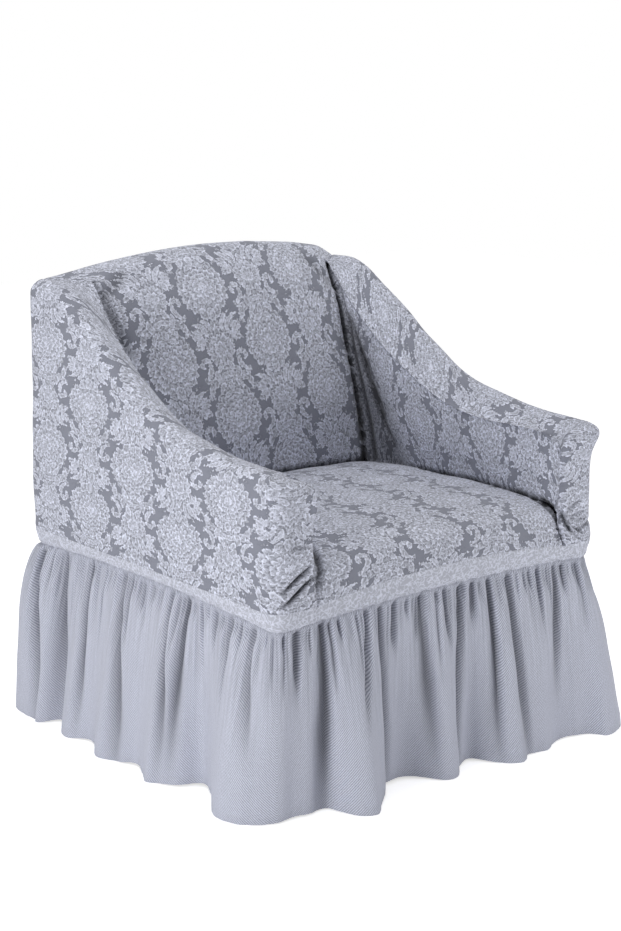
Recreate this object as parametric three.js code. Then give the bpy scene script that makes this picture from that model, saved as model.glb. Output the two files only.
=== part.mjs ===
// Fitted slipcover for a low armchair, without the chair: stretch jacquard panels over the
// back, seat and arms, a plain elastic waistband, and a gathered skirt that reaches the floor.
// Millimetres. X runs across the chair, -Y is its front, +Z is up, and the hem is at Z 0.

import * as THREE from 'three';

// Driving sizes.
const halfWidth = 400; // outer side of an arm
const frontY = -400; // front of the arms
const backY = 390; // rear face
const cornerRadius = 32; // upright corners, seen from above
const shoulderRadius = 26; // where a wall turns over into a top
const armInside = 308; // inner face of an arm
const armInsideRadius = 12; // rounding between an arm's front and its inner face
const creaseTop = { x: 300, y: 300, z: 875 }; // where the arm leaves the front of the back rest
const creaseFoot = { x: 308, y: 180, z: 452 }; // where back rest, arm and seat meet
const cornerTopZ = 880; // upper corners of the back
const bandTopZ = 383; // upper edge of the waistband at the corners
const bandBottomZ = 346; // lower edge of the waistband at the corners
const bandTuck = 9; // how far the elastic pulls the waistband in at its lower edge
const bandBow = 12; // how much higher its lower edge runs in the middle of a side
const crestRise = 45; // top of the back above its corners
const backPadding = 16; // fullness of the back rest's middle
const innerArmSwell = 7; // fullness of the inner side of an arm
const noseDrop = 16; // fall of an arm's top across its front
const notchReach = 16; // how far the arm's inner front edge comes forward at the waistband
const notchHeight = 42; // and the height over which it does so
const armTopRound = 0.6; // how much of the arm top's fall towards its seam comes early
const seamTaper = 100; // run over which the arm-top seam leaves the back's crease
const seatClearance = 0.1; // between the seat's side edges and the inner arms
const clothThickness = 2;
const seamGap = 0.5; // space left between two panels along their seam
const sharpestMitre = 0.02; // holds back the points of very narrow tips
const sameWithin = 0.001; // points nearer to each other than this are one

// How the fullness of the side walls is shared out: the arm's front has less of it.
const frontShare = 0.45;
const frontShareEndsY = -100;
const wholeShareStartsY = 300;
const noseTurn = 1.5; // above 1 the nose's fullness starts early in the front corner

// Shapes of the crowned panels. A higher number keeps the middle flatter and the edges rounder.
const crownSquareness = 2.4;
const paddingSquareness = 4;
const seatFrontSquareness = 6;
const crestOnset = 1.5; // the crest's curve fades in up the back rest
const topFall = 1; // how far the back's top falls towards the front
const topRound = 5; // and how much it is rounded from front to rear
const creaseReach = 4; // columns over which the inner arm takes up the lean of the crease
const frontEdgeHold = 4; // how late the inner arm's rows turn into the front edge's spacing
const bandMidTuck = 0.3; // share of the waistband's tuck at half its height

// Outer top line of an arm: its height at each station from the front to the back.
const armTopLine = [
  { y: -400, z: 616 },
  { y: -340, z: 619 },
  { y: -277, z: 623 },
  { y: -208, z: 631 },
  { y: -152, z: 642 },
  { y: -65, z: 662 },
  { y: 26, z: 706 },
  { y: 89, z: 747 },
  { y: 153, z: 792 },
  { y: 218, z: 831 },
  { y: 265, z: 862 },
  { y: 300, z: 876 },
  { y: 358, z: cornerTopZ },
  { y: 390, z: cornerTopZ },
];

// Seam on the inner edge of the arm top: it dips ahead of the outer line and rounds the front.
const armSeam = [
  { y: -388, z: 550 },
  { y: -383, z: 564 },
  { y: -370, z: 577 },
  { y: -348, z: 589 },
  { y: -310, z: 598 },
  { y: -265, z: 599 },
  { y: -175, z: 599 },
  { y: -55, z: 620 },
  { y: 40, z: 662 },
  { y: 140, z: 721 },
  { y: 240, z: 806 },
  { y: 290, z: 864 },
  { y: 300, z: creaseTop.z },
];

// Fullness of the side walls by height: out is how far the cloth stands off the nominal wall.
const sideFullness = [
  { z: 380, out: 9 },
  { z: 440, out: 10 },
  { z: 600, out: 6 },
  { z: 740, out: 3 },
  { z: 880, out: 0 },
];

// Fullness of an arm's front by height: a rounded nose on top and a puffed foot above the band.
const noseFullness = [
  { z: 380, out: 6 },
  { z: 396, out: 7 },
  { z: 421, out: 3 },
  { z: 480, out: 1 },
  { z: 524, out: -1 },
  { z: 545, out: 0 },
  { z: 560, out: 3 },
  { z: 575, out: 9 },
  { z: 590, out: 15 },
  { z: 603, out: 16 },
  { z: 622, out: 6 },
];

// Crest of the back from its left corner to its right: a touch squarer on the right.
const backCrest = [
  { x: -368, z: cornerTopZ },
  { x: -336, z: 885 },
  { x: -243, z: 901 },
  { x: -171, z: 911 },
  { x: 0, z: 925 },
  { x: 142, z: 923 },
  { x: 278, z: 911 },
  { x: 328, z: 902 },
  { x: 368, z: cornerTopZ },
];

// Lean of the crease between back rest and arm, from the seat up.
const backLean = [
  { z: 452, y: 180 },
  { z: 530, y: 190 },
  { z: 607, y: 206 },
  { z: 693, y: 232 },
  { z: 801, y: 262 },
  { z: 875, y: 300 },
];

// Side of the seat from the back crease over the front edge to the waistband. crown is how
// much higher the middle of the seat is, full how far its middle comes forward.
const seatLine = [
  { along: 0, y: 180, z: 452, crown: 9, full: 0 },
  { along: 0.1, y: 116, z: 460, crown: 14, full: 0 },
  { along: 0.2, y: 47, z: 465, crown: 16, full: 0 },
  { along: 0.36, y: -45, z: 467, crown: 18, full: 0 },
  { along: 0.57, y: -202, z: 469, crown: 17, full: 0 },
  { along: 0.72, y: -299, z: 465, crown: 16, full: 0 },
  { along: 0.83, y: -355, z: 455, crown: 15, full: 4 },
  { along: 0.89, y: -381, z: 438, crown: 17, full: 9 },
  { along: 0.94, y: -390, z: 413, crown: 19, full: 11 },
  { along: 1, y: -404, z: bandTopZ, crown: 20, full: 1 },
];

// Main folds of the skirt, side by side round the hem: at is the place along that side, out
// how far the hem stands off the waistband there, lift its height above the floor, and puff
// how much fuller than the rest the fold is near its top.
const leftFolds = [
  { at: 362, out: 54, lift: 0, puff: 20 },
  { at: 330, out: 56, lift: 0, puff: 12 },
  { at: 296, out: 60, lift: 0 },
  { at: 262, out: 28, lift: 5 },
  { at: 222, out: 44, lift: 0 },
  { at: 190, out: 54, lift: 0 },
  { at: 135, out: 38, lift: 4 },
  { at: 100, out: 48, lift: 2 },
  { at: 58, out: 68, lift: 0 },
  { at: 26, out: 62, lift: 0 },
  { at: -22, out: 36, lift: 5 },
  { at: -60, out: 50, lift: 2 },
  { at: -98, out: 69, lift: 0 },
  { at: -130, out: 48, lift: 2 },
  { at: -178, out: -8, lift: 6 },
  { at: -222, out: 8, lift: 4 },
  { at: -262, out: 34, lift: 2 },
  { at: -312, out: 56, lift: 0 },
  { at: -358, out: 42, lift: 0 },
];
const frontFolds = [
  { at: -393, out: 2, lift: 2 },
  { at: -368, out: -10, lift: 4 },
  { at: -330, out: -7, lift: 4 },
  { at: -292, out: 10, lift: 2 },
  { at: -262, out: 48, lift: 0 },
  { at: -228, out: 73, lift: 0 },
  { at: -186, out: 38, lift: 3 },
  { at: -128, out: -14, lift: 6 },
  { at: -92, out: -12, lift: 6 },
  { at: -55, out: 14, lift: 3 },
  { at: -18, out: 40, lift: 0 },
  { at: 30, out: 18, lift: 3 },
  { at: 66, out: 0, lift: 5 },
  { at: 100, out: 44, lift: 1 },
  { at: 138, out: 72, lift: 0 },
  { at: 176, out: 52, lift: 2 },
  { at: 222, out: 60, lift: 0 },
  { at: 300, out: 36, lift: 3 },
  { at: 336, out: 50, lift: 2 },
  { at: 376, out: 81, lift: 0 },
];
const rightFolds = [
  { at: -366, out: 60, lift: 0 },
  { at: -318, out: 30, lift: 4 },
  { at: -262, out: 58, lift: 0 },
  { at: -205, out: 26, lift: 4 },
  { at: -140, out: 62, lift: 0 },
  { at: -84, out: 32, lift: 5 },
  { at: -22, out: 55, lift: 0 },
  { at: 40, out: 18, lift: 5 },
  { at: 96, out: 58, lift: 0 },
  { at: 150, out: 34, lift: 3 },
  { at: 214, out: 64, lift: 0 },
  { at: 276, out: 30, lift: 4 },
  { at: 330, out: 56, lift: 0 },
  { at: 364, out: 50, lift: 0 },
];
const backFolds = [
  { at: 366, out: 34, lift: 2 },
  { at: 310, out: 22, lift: 4 },
  { at: 256, out: 54, lift: 0 },
  { at: 196, out: 24, lift: 5 },
  { at: 130, out: 60, lift: 0 },
  { at: 66, out: 28, lift: 4 },
  { at: 4, out: 52, lift: 0 },
  { at: -58, out: 20, lift: 5 },
  { at: -120, out: 58, lift: 0 },
  { at: -186, out: 30, lift: 4 },
  { at: -246, out: 56, lift: 0 },
  { at: -306, out: 26, lift: 4 },
  { at: -366, out: 52, lift: 0, puff: 16 },
];
const skirtRise = 0.8; // below 1 the flare starts quickly under the waistband
const skirtSteps = [0, 0.12, 0.3, 0.52, 0.76, 1]; // rows of the skirt, 0 at the waistband
const skirtPitch = 22; // spacing of the skirt's columns

// How finely each panel is divided.
const acrossSteps = 12; // across the back and the seat, an even number
const cornerSteps = 3; // round an upright corner
const wallSteps = 5; // up a side wall
const shoulderSteps = 3; // over a shoulder
const armTopSteps = 3; // across an arm's top
const backSteps = wallSteps + shoulderSteps - 1; // up the back rest and inner arms
const armStationsY = [300, 250, 200, 150, 100, 50, 0, -60, -130, -210, -290, -340];
const seatRows = [0, 0.11, 0.23, 0.36, 0.49, 0.61, 0.71, 0.78, 0.84, 0.88, 0.92, 0.96, 1];

const clamp = THREE.MathUtils.clamp;
const lerp = THREE.MathUtils.lerp;

// Smooth curve through a table's rows: the value of one column where another has a given value.
function follow(rows, byKey, wantedKey, at) {
  const rising = rows[rows.length - 1][byKey] > rows[0][byKey];
  const list = rising ? rows : [...rows].reverse();
  const last = list.length - 1;
  const here = clamp(at, list[0][byKey], list[last][byKey]);
  let i = 0;
  while (i < last - 1 && here > list[i + 1][byKey]) i += 1;
  const span = list[i + 1][byKey] - list[i][byKey];
  const t = (here - list[i][byKey]) / span;
  const startSlope = slopeAt(list, byKey, wantedKey, i) * span;
  const endSlope = slopeAt(list, byKey, wantedKey, i + 1) * span;
  const start = list[i][wantedKey];
  const end = list[i + 1][wantedKey];
  const rise = 3 * t * t - 2 * t * t * t;
  return start + (end - start) * rise
    + startSlope * t * (1 - t) * (1 - t) - endSlope * t * t * (1 - t);
}

// Slope of a table's curve at row i, weighted towards the nearer neighbour.
function slopeAt(rows, byKey, wantedKey, i) {
  const step = (a, b) => (b[wantedKey] - a[wantedKey]) / (b[byKey] - a[byKey]);
  if (i === 0) return step(rows[0], rows[1]);
  if (i === rows.length - 1) return step(rows[i - 1], rows[i]);
  const before = rows[i][byKey] - rows[i - 1][byKey];
  const after = rows[i + 1][byKey] - rows[i][byKey];
  return (step(rows[i - 1], rows[i]) * after + step(rows[i], rows[i + 1]) * before) / (before + after);
}

const point = (x, y, z) => new THREE.Vector3(x, y, z);
const turned = (grid) => [...grid].reverse();
const mirrored = (grid) => turned(grid.map((column) => column.map((p) => point(-p.x, p.y, p.z))));
const cornerLength = (Math.PI / 2) * cornerRadius;
const sideLength = backY - frontY - 2 * cornerRadius;
const faceLength = halfWidth - cornerRadius - armInside - armInsideRadius;
const sideStart = cornerLength;
const frontCorner = sideStart + sideLength;
const faceStart = frontCorner + cornerLength;
const insideStart = faceStart + faceLength;
const flatHalf = halfWidth - cornerRadius;
const ringLength = 4 * flatHalf + 2 * faceStart;

// Stations along the arm's wall, as distances from the rear seam.
const turnSteps = Array.from({ length: cornerSteps + 1 }, (_, i) => (cornerLength * i) / cornerSteps);
const armDistances = [
  ...turnSteps,
  ...armStationsY.map((y) => sideStart + backY - cornerRadius - y),
  ...turnSteps.map((step) => frontCorner + step),
  faceStart + faceLength / 2,
  insideStart,
];

// Nominal wall of the left arm seen from above, from the rear seam forward along the side and
// round the front to its inner edge. Gives the place and the outward direction.
function armWall(distance) {
  if (distance <= sideStart) {
    const turn = distance / cornerRadius;
    return onCorner(-flatHalf, backY - cornerRadius, -Math.sin(turn), Math.cos(turn));
  }
  if (distance <= frontCorner) {
    return { x: -halfWidth, y: backY - cornerRadius - (distance - sideStart), nx: -1, ny: 0 };
  }
  if (distance <= faceStart) {
    const turn = (distance - frontCorner) / cornerRadius;
    return onCorner(-flatHalf, frontY + cornerRadius, -Math.cos(turn), -Math.sin(turn));
  }
  return { x: -flatHalf + distance - faceStart, y: frontY, nx: 0, ny: -1 };
}

function onCorner(centreX, centreY, nx, ny) {
  return { x: centreX + cornerRadius * nx, y: centreY + cornerRadius * ny, nx, ny };
}

// How far the cloth stands off the nominal wall at a height.
function fullness(wall, z) {
  const onFront = clamp(-noseTurn * wall.ny, 0, 1);
  const towardsBack = (wall.y - frontShareEndsY) / (wholeShareStartsY - frontShareEndsY);
  const share = lerp(frontShare, 1, clamp(towardsBack, 0, 1));
  return lerp(follow(sideFullness, 'z', 'out', z) * share, follow(noseFullness, 'z', 'out', z), onFront);
}

// Column of cloth up a wall and over its shoulder.
function wallColumn(wall, topZ) {
  const standing = (z, inset) => {
    const out = fullness(wall, z) - inset;
    return point(wall.x + wall.nx * out, wall.y + wall.ny * out, z);
  };
  const column = [];
  for (let i = 0; i < wallSteps; i += 1) {
    column.push(standing(lerp(bandTopZ, topZ - shoulderRadius, i / wallSteps), 0));
  }
  for (let i = 0; i <= shoulderSteps; i += 1) {
    const turn = (Math.PI / 2) * (i / shoulderSteps);
    const z = topZ - shoulderRadius * (1 - Math.sin(turn));
    column.push(standing(z, shoulderRadius * (1 - Math.cos(turn))));
  }
  return column;
}

// Height of the outer top line above a place on the arm's wall: it falls across the front.
function armTopZ(distance) {
  const outerZ = follow(armTopLine, 'y', 'z', armWall(distance).y);
  return outerZ - noseDrop * clamp((distance - faceStart) / faceLength, 0, 1);
}

// Where along the arm-top seam the columns end that stand at given distances along the wall.
const seamPlaces = [
  { distance: sideStart, y: creaseTop.y },
  { distance: sideStart + 150, y: 190 },
  { distance: frontCorner - 60, y: -308 },
  { distance: frontCorner, y: -348 },
  { distance: faceStart, y: -370 },
  { distance: insideStart, y: -382 },
];

// Point of the arm-top seam that a wall column runs up to.
function armSeamPoint(distance) {
  if (distance <= sideStart) {
    const part = distance / sideStart;
    return point(
      lerp(-flatHalf, -creaseTop.x, part),
      lerp(backY - shoulderRadius, creaseTop.y, part),
      lerp(cornerTopZ, creaseTop.z, part),
    );
  }
  const y = follow(seamPlaces, 'distance', 'y', distance);
  const x = lerp(-creaseTop.x, -armInside, clamp((creaseTop.y - y) / seamTaper, 0, 1));
  return point(x, y, follow(armSeam, 'y', 'z', y));
}

// One column of the outer arm: up the wall, over the shoulder, in and down to the seam.
function outerArmColumn(distance) {
  const column = wallColumn(armWall(distance), armTopZ(distance));
  const edge = column[column.length - 1];
  const seam = armSeamPoint(distance);
  for (let i = 1; i <= armTopSteps; i += 1) {
    const part = i / armTopSteps;
    const drop = part * part * (1 + armTopRound * (1 - part));
    const z = lerp(edge.z, seam.z, drop);
    column.push(point(lerp(edge.x, seam.x, part), lerp(edge.y, seam.y, part), z));
  }
  return column;
}

// Upright front edge of the arm on its inner side. Its rows keep the spacing of the
// neighbouring column's wall and shoulder, the rows across the arm's top run together at its
// upper end, and its foot comes forward to the waistband.
function armFrontEdge(neighbour) {
  const travelled = [0];
  for (let i = 1; i <= wallSteps + shoulderSteps; i += 1) {
    travelled.push(travelled[i - 1] + neighbour[i].distanceTo(neighbour[i - 1]));
  }
  const end = armSeam[0];
  const edge = travelled.map((length) => {
    const z = lerp(bandTopZ, end.z, length / travelled[travelled.length - 1]);
    const low = clamp(1 - (z - bandTopZ) / notchHeight, 0, 1);
    return point(-armInside, end.y - notchReach * low * low, z);
  });
  return [...edge, ...new Array(armTopSteps).fill(edge[edge.length - 1])];
}

// Outer side of the left arm, its top and its front, in one piece.
function outerArm() {
  const columns = armDistances.map(outerArmColumn);
  columns.push(armFrontEdge(columns[columns.length - 1]));
  return columns;
}

// Left crease between back rest and inner arm, part 0 at the seat and 1 at the top.
function creasePoint(part) {
  const z = lerp(creaseFoot.z, creaseTop.z, part);
  return point(-lerp(creaseFoot.x, creaseTop.x, part), follow(backLean, 'z', 'y', z), z);
}

// Inner arm: columns run from the seat crease up to the arm-top seam, from the crease with
// the back rest to the arm's upright front edge.
function innerArm(outerGrid) {
  const frontEdge = outerGrid[outerGrid.length - 1].slice(1, -armTopSteps);
  const tip = frontEdge[0];
  const tops = outerGrid.slice(cornerSteps, -1).map((column) => column[column.length - 1]);
  const columns = tops.map((top, i) => {
    const forward = (creaseTop.y - top.y) / (creaseTop.y - armSeam[0].y);
    const footY = lerp(creaseFoot.y, tip.y, forward);
    const foot = point(-armInside, footY, follow(seatLine, 'y', 'z', footY));
    const nearBack = Math.max(0, 1 - i / creaseReach) ** 2;
    return frontEdge.map((edgePoint, j) => {
      const atFront = (edgePoint.z - tip.z) / (armSeam[0].z - tip.z);
      const up = lerp(j / backSteps, atFront, forward ** frontEdgeHold);
      const straight = creasePoint(0).lerp(creasePoint(1), up);
      const p = foot.clone().lerp(top, up);
      p.addScaledVector(creasePoint(up).sub(straight), nearBack);
      if (i > 0) p.x += innerArmSwell * Math.sin(Math.PI * up) * (1 - forward);
      return p;
    });
  });
  columns.push(frontEdge);
  return columns;
}

const crown = (across) => 1 - Math.abs(across) ** crownSquareness;
const crestZ = (x) => follow(backCrest, 'x', 'z', x);
const acrossAt = (i) => -1 + (2 * i) / acrossSteps;

// Seat top and front drop in one piece, crowned in the middle.
function seatPanel() {
  const columns = [];
  for (let i = 0; i <= acrossSteps; i += 1) {
    const across = acrossAt(i);
    columns.push(seatRows.map((along) => {
      const value = (key) => follow(seatLine, 'along', key, along);
      const halfSeat = along < 1 ? armInside - seatClearance : armInside;
      const y = value('y') - value('full') * (1 - across ** seatFrontSquareness);
      return point(across * halfSeat, y, value('z') + value('crown') * crown(across));
    }));
  }
  return columns;
}

// Front of the back rest, then its top back to the rear seam. It is full in the middle, and
// its top widens from the creases to the outer corners.
function insideBack() {
  const columns = [];
  const rearY = backY - shoulderRadius;
  for (let i = 0; i <= acrossSteps; i += 1) {
    const across = acrossAt(i);
    const crest = (crestZ(across * flatHalf) - cornerTopZ) / crestRise;
    const column = [];
    for (let j = 0; j <= backSteps; j += 1) {
      const up = j / backSteps;
      const side = creasePoint(up);
      const padding = backPadding * Math.sin(Math.PI * up) * (1 - across ** paddingSquareness);
      const foot = seatLine[0].crown * crown(across);
      const rise = lerp(foot, (crestRise - topFall) * crest, up ** crestOnset);
      column.push(point(-across * side.x, side.y - padding, side.z + rise));
    }
    for (let j = 1; j <= cornerSteps; j += 1) {
      const back = j / cornerSteps;
      const rise = crestRise - topFall * (1 - back) + topRound * Math.sin(Math.PI * back);
      column.push(point(
        across * lerp(creaseTop.x, flatHalf, back),
        lerp(creaseTop.y, rearY, back),
        lerp(creaseTop.z, cornerTopZ, back) + rise * crest,
      ));
    }
    columns.push(column);
  }
  return columns;
}

// Rear panel, from the waistband up to the rear seam on top.
function outsideBack() {
  const columns = [];
  for (let i = 0; i <= acrossSteps; i += 1) {
    const x = acrossAt(i) * flatHalf;
    columns.push(wallColumn({ x, y: backY, nx: 0, ny: 1 }, crestZ(x)));
  }
  return turned(columns);
}

// The waistband's top edge all round, seen from above: each station has its place, its
// outward direction, its distance along the ring and its place along that side, -1 to 1.
function ringStations(outerGrid, seatGrid, rearGrid) {
  const stations = [];
  const add = (p, nx, ny, distance, place) => {
    stations.push({ x: p.x, y: p.y, z: p.z, nx, ny, distance, bow: 1 - Math.min(1, Math.abs(place)) ** 2 });
  };
  const half = acrossSteps / 2;
  rearGrid.slice(half, -1).forEach((column) => {
    add(column[0], 0, 1, -column[0].x, column[0].x / flatHalf);
  });
  armDistances.forEach((distance, i) => {
    const wall = armWall(distance);
    const place = distance <= faceStart ? wall.y / backY : wall.x / flatHalf;
    add(outerGrid[i][0], wall.nx, wall.ny, flatHalf + distance, place);
  });
  const armEdge = outerGrid[outerGrid.length - 1][0];
  const seatEdges = seatGrid.slice(1, half + 1).map((column) => column[column.length - 1]);
  [armEdge, ...seatEdges].forEach((edge) => {
    add(edge, 0, -1, 2 * flatHalf + faceStart + edge.x, edge.x / flatHalf);
  });
  stations.slice(1, -1).reverse().forEach((s) => {
    stations.push({ ...s, x: -s.x, nx: -s.nx, distance: ringLength - s.distance });
  });
  return stations;
}

// Hem of the skirt: every fold row with its distance along the ring, in order.
function hemRows() {
  const leftStart = flatHalf + sideStart;
  const frontStart = flatHalf + faceStart;
  const rightStart = ringLength - flatHalf - frontCorner;
  const placed = [
    ...leftFolds.map((row) => ({ ...row, distance: leftStart + backY - cornerRadius - row.at })),
    ...frontFolds.map((row) => ({ ...row, distance: frontStart + flatHalf + row.at })),
    ...rightFolds.map((row) => ({ ...row, distance: rightStart + row.at - frontY - cornerRadius })),
    ...backFolds.map((row) => ({ ...row, distance: (ringLength - row.at) % ringLength })),
  ];
  const rows = placed.map((row) => ({ puff: 0, ...row }));
  rows.sort((a, b) => a.distance - b.distance);
  const first = rows[0];
  const last = rows[rows.length - 1];
  return [
    { ...last, distance: last.distance - ringLength },
    ...rows,
    { ...first, distance: first.distance + ringLength },
  ];
}

const bandBottomAt = (station) => bandBottomZ + bandBow * station.bow;

// Waistband: down from the panels' lower edges, drawn in by its elastic.
function waistband(stations) {
  const ring = [...stations, stations[0]];
  return ring.map((station) => {
    const at = (inset, z) => point(station.x - station.nx * inset, station.y - station.ny * inset, z);
    const low = bandBottomAt(station);
    return [at(bandTuck, low), at(bandTuck * bandMidTuck, (low + station.z) / 2), at(0, station.z)];
  });
}

// A station between two others on the waistband, with the height of the lower edge there.
const between = (from, to, part) => ({
  x: lerp(from.x, to.x, part),
  y: lerp(from.y, to.y, part),
  nx: lerp(from.nx, to.nx, part),
  ny: lerp(from.ny, to.ny, part),
  distance: lerp(from.distance, to.distance, part),
  low: lerp(bandBottomAt(from), bandBottomAt(to), part),
});

// One column of the skirt, from the hem up to the waistband. It flares early where a fold
// has puff, and stands out and lifts as the folds beside it do.
function skirtColumn(station, rows) {
  const fold = (key) => follow(rows, 'distance', key, station.distance);
  const hemZ = Math.max(0, fold('lift'));
  return turned(skirtSteps).map((down) => {
    const flare = (bandTuck + fold('out')) * down ** skirtRise - bandTuck;
    const reach = flare + fold('puff') * Math.sin(Math.PI * Math.sqrt(down));
    return point(
      station.x + station.nx * reach,
      station.y + station.ny * reach,
      lerp(station.low, hemZ, down),
    );
  });
}

// Skirt: hangs from the waistband's lower edge and flares into uneven folds down to the hem.
function skirt(stations) {
  const rows = hemRows();
  const ring = [...stations, { ...stations[0], distance: ringLength }];
  const columns = ring.slice(1).flatMap((to, i) => {
    const from = ring[i];
    const count = Math.max(1, Math.round(Math.hypot(to.x - from.x, to.y - from.y) / skirtPitch));
    return Array.from({ length: count }, (_, k) => skirtColumn(between(from, to, k / count), rows));
  });
  return [...columns, columns[0]];
}

const placeKey = (p) => [p.x, p.y, p.z].map((v) => Math.round(v / sameWithin)).join(',');

// A grid of points as triangles facing the way that columns cross rows. Points that fall
// together, as at a tip or where a ring closes, become one.
function surface(grid) {
  const points = [];
  const keys = [];
  const indexOf = new Map();
  const index = grid.map((column) => column.map((p) => {
    const key = placeKey(p);
    if (!indexOf.has(key)) {
      indexOf.set(key, points.length);
      points.push(p);
      keys.push(key);
    }
    return indexOf.get(key);
  }));
  const triangles = [];
  for (let i = 0; i + 1 < index.length; i += 1) {
    for (let j = 0; j + 1 < index[i].length; j += 1) {
      const [a, b, c, d] = [index[i][j], index[i + 1][j], index[i + 1][j + 1], index[i][j + 1]];
      const splits = [[[a, b, c], [a, c, d]], [[a, b, d], [b, c, d]]];
      const [flatter] = splits.sort((one, other) => evenness(points, other) - evenness(points, one));
      triangles.push(...flatter.filter(([p, q, r]) => p !== q && q !== r && r !== p));
    }
  }
  return { points, keys, triangles };
}

const crossOf = (points, [a, b, c]) => {
  const ab = points[b].clone().sub(points[a]);
  return ab.cross(points[c].clone().sub(points[a]));
};

// How nearly two triangles face the same way, 1 when they are level with each other.
const evenness = (points, [one, other]) => (
  crossOf(points, one).normalize().dot(crossOf(points, other).normalize())
);

// Outward direction of one panel at each of its points.
function panelNormals({ points, triangles }) {
  const normals = points.map(() => point(0, 0, 0));
  for (const triangle of triangles) {
    const cross = crossOf(points, triangle);
    for (const corner of triangle) normals[corner].add(cross);
  }
  return normals.map((normal) => normal.normalize());
}

// Outward direction at every place, the mean of all panels that meet there, so that the
// edges along a seam stay parallel.
function sharedNormals(surfaces) {
  const shared = new Map();
  for (const panel of surfaces) {
    panelNormals(panel).forEach((normal, i) => {
      const key = panel.keys[i];
      if (!shared.has(key)) shared.set(key, point(0, 0, 0));
      shared.get(key).add(normal);
    });
  }
  for (const normal of shared.values()) normal.normalize();
  return shared;
}

// Edges that only one triangle uses, in that triangle's direction.
function rimEdges(triangles) {
  const edges = new Map();
  for (const triangle of triangles) {
    for (let i = 0; i < 3; i += 1) {
      const from = triangle[i];
      const to = triangle[(i + 1) % 3];
      if (edges.has(`${to},${from}`)) edges.delete(`${to},${from}`);
      else edges.set(`${from},${to}`, { from, to, triangle });
    }
  }
  return [...edges.values()];
}

// How each rim point draws back along the cloth to leave half a seam gap.
function rimShifts(points, edges) {
  const inwards = points.map(() => []);
  for (const { from, to, triangle } of edges) {
    const along = points[to].clone().sub(points[from]).normalize();
    const inward = crossOf(points, triangle).normalize().cross(along);
    inwards[from].push(inward);
    inwards[to].push(inward);
  }
  return inwards.map((directions) => {
    if (directions.length < 2) return point(0, 0, 0);
    const [a, b] = directions;
    const spread = Math.max(sharpestMitre, 1 + a.dot(b));
    return a.clone().add(b).multiplyScalar(seamGap / 2 / spread);
  });
}

// Cloth of even thickness behind a surface, as one closed body. Its rim is split alike on
// both panels of a seam.
function clothGeometry({ points, keys, triangles }, normals) {
  const edges = rimEdges(triangles);
  const shifts = rimShifts(points, edges);
  const faceSide = points.map((p, i) => p.clone().add(shifts[i]));
  const backSide = faceSide.map((p, i) => p.clone().addScaledVector(normals.get(keys[i]), -clothThickness));
  const count = points.length;
  const index = [];
  for (const [a, b, c] of triangles) index.push(a, b, c, a + count, c + count, b + count);
  for (const { from, to } of edges) {
    if (keys[from] < keys[to]) index.push(from, from + count, to + count, from, to + count, to);
    else index.push(from, from + count, to, to, from + count, to + count);
  }
  const geometry = new THREE.BufferGeometry().setFromPoints([...faceSide, ...backSide]);
  geometry.setIndex(index);
  geometry.computeVertexNormals();
  return geometry;
}

function jacquard() {
  return new THREE.MeshStandardMaterial({ color: 0xb4b6c1, roughness: 0.9, metalness: 0 });
}

function elasticCasing() {
  return new THREE.MeshStandardMaterial({ color: 0xaaabb6, roughness: 0.92, metalness: 0 });
}

function skirtWeave() {
  return new THREE.MeshStandardMaterial({ color: 0xb2b4c0, roughness: 0.88, metalness: 0 });
}

function buildCover() {
  const outer = outerArm();
  const inner = turned(innerArm(outer));
  const seat = seatPanel();
  const rear = outsideBack();
  const stations = ringStations(outer, seat, rear);
  const pieces = [
    { name: 'inside_back', grid: insideBack(), material: jacquard() },
    { name: 'outside_back', grid: rear, material: jacquard() },
    { name: 'seat_panel', grid: turned(seat), material: jacquard() },
    { name: 'outer_arm_left', grid: outer, material: jacquard() },
    { name: 'outer_arm_right', grid: mirrored(outer), material: jacquard() },
    { name: 'inner_arm_left', grid: inner, material: jacquard() },
    { name: 'inner_arm_right', grid: mirrored(inner), material: jacquard() },
    { name: 'waistband', grid: waistband(stations), material: elasticCasing() },
    { name: 'skirt', grid: skirt(stations), material: skirtWeave() },
  ];
  const surfaces = pieces.map((piece) => surface(piece.grid));
  const normals = sharedNormals(surfaces);
  const cover = new THREE.Group();
  pieces.forEach((piece, i) => {
    const mesh = new THREE.Mesh(clothGeometry(surfaces[i], normals), piece.material);
    mesh.name = piece.name;
    cover.add(mesh);
  });
  return cover;
}

// The origin is the middle of the cover's footprint, on the floor.
const cover = buildCover();
const extent = new THREE.Box3().setFromObject(cover, true);
const middle = extent.getCenter(point(0, 0, 0));
cover.position.set(-middle.x, -middle.y, -extent.min.z);
cover.updateMatrixWorld(true);

export default cover;
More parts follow.
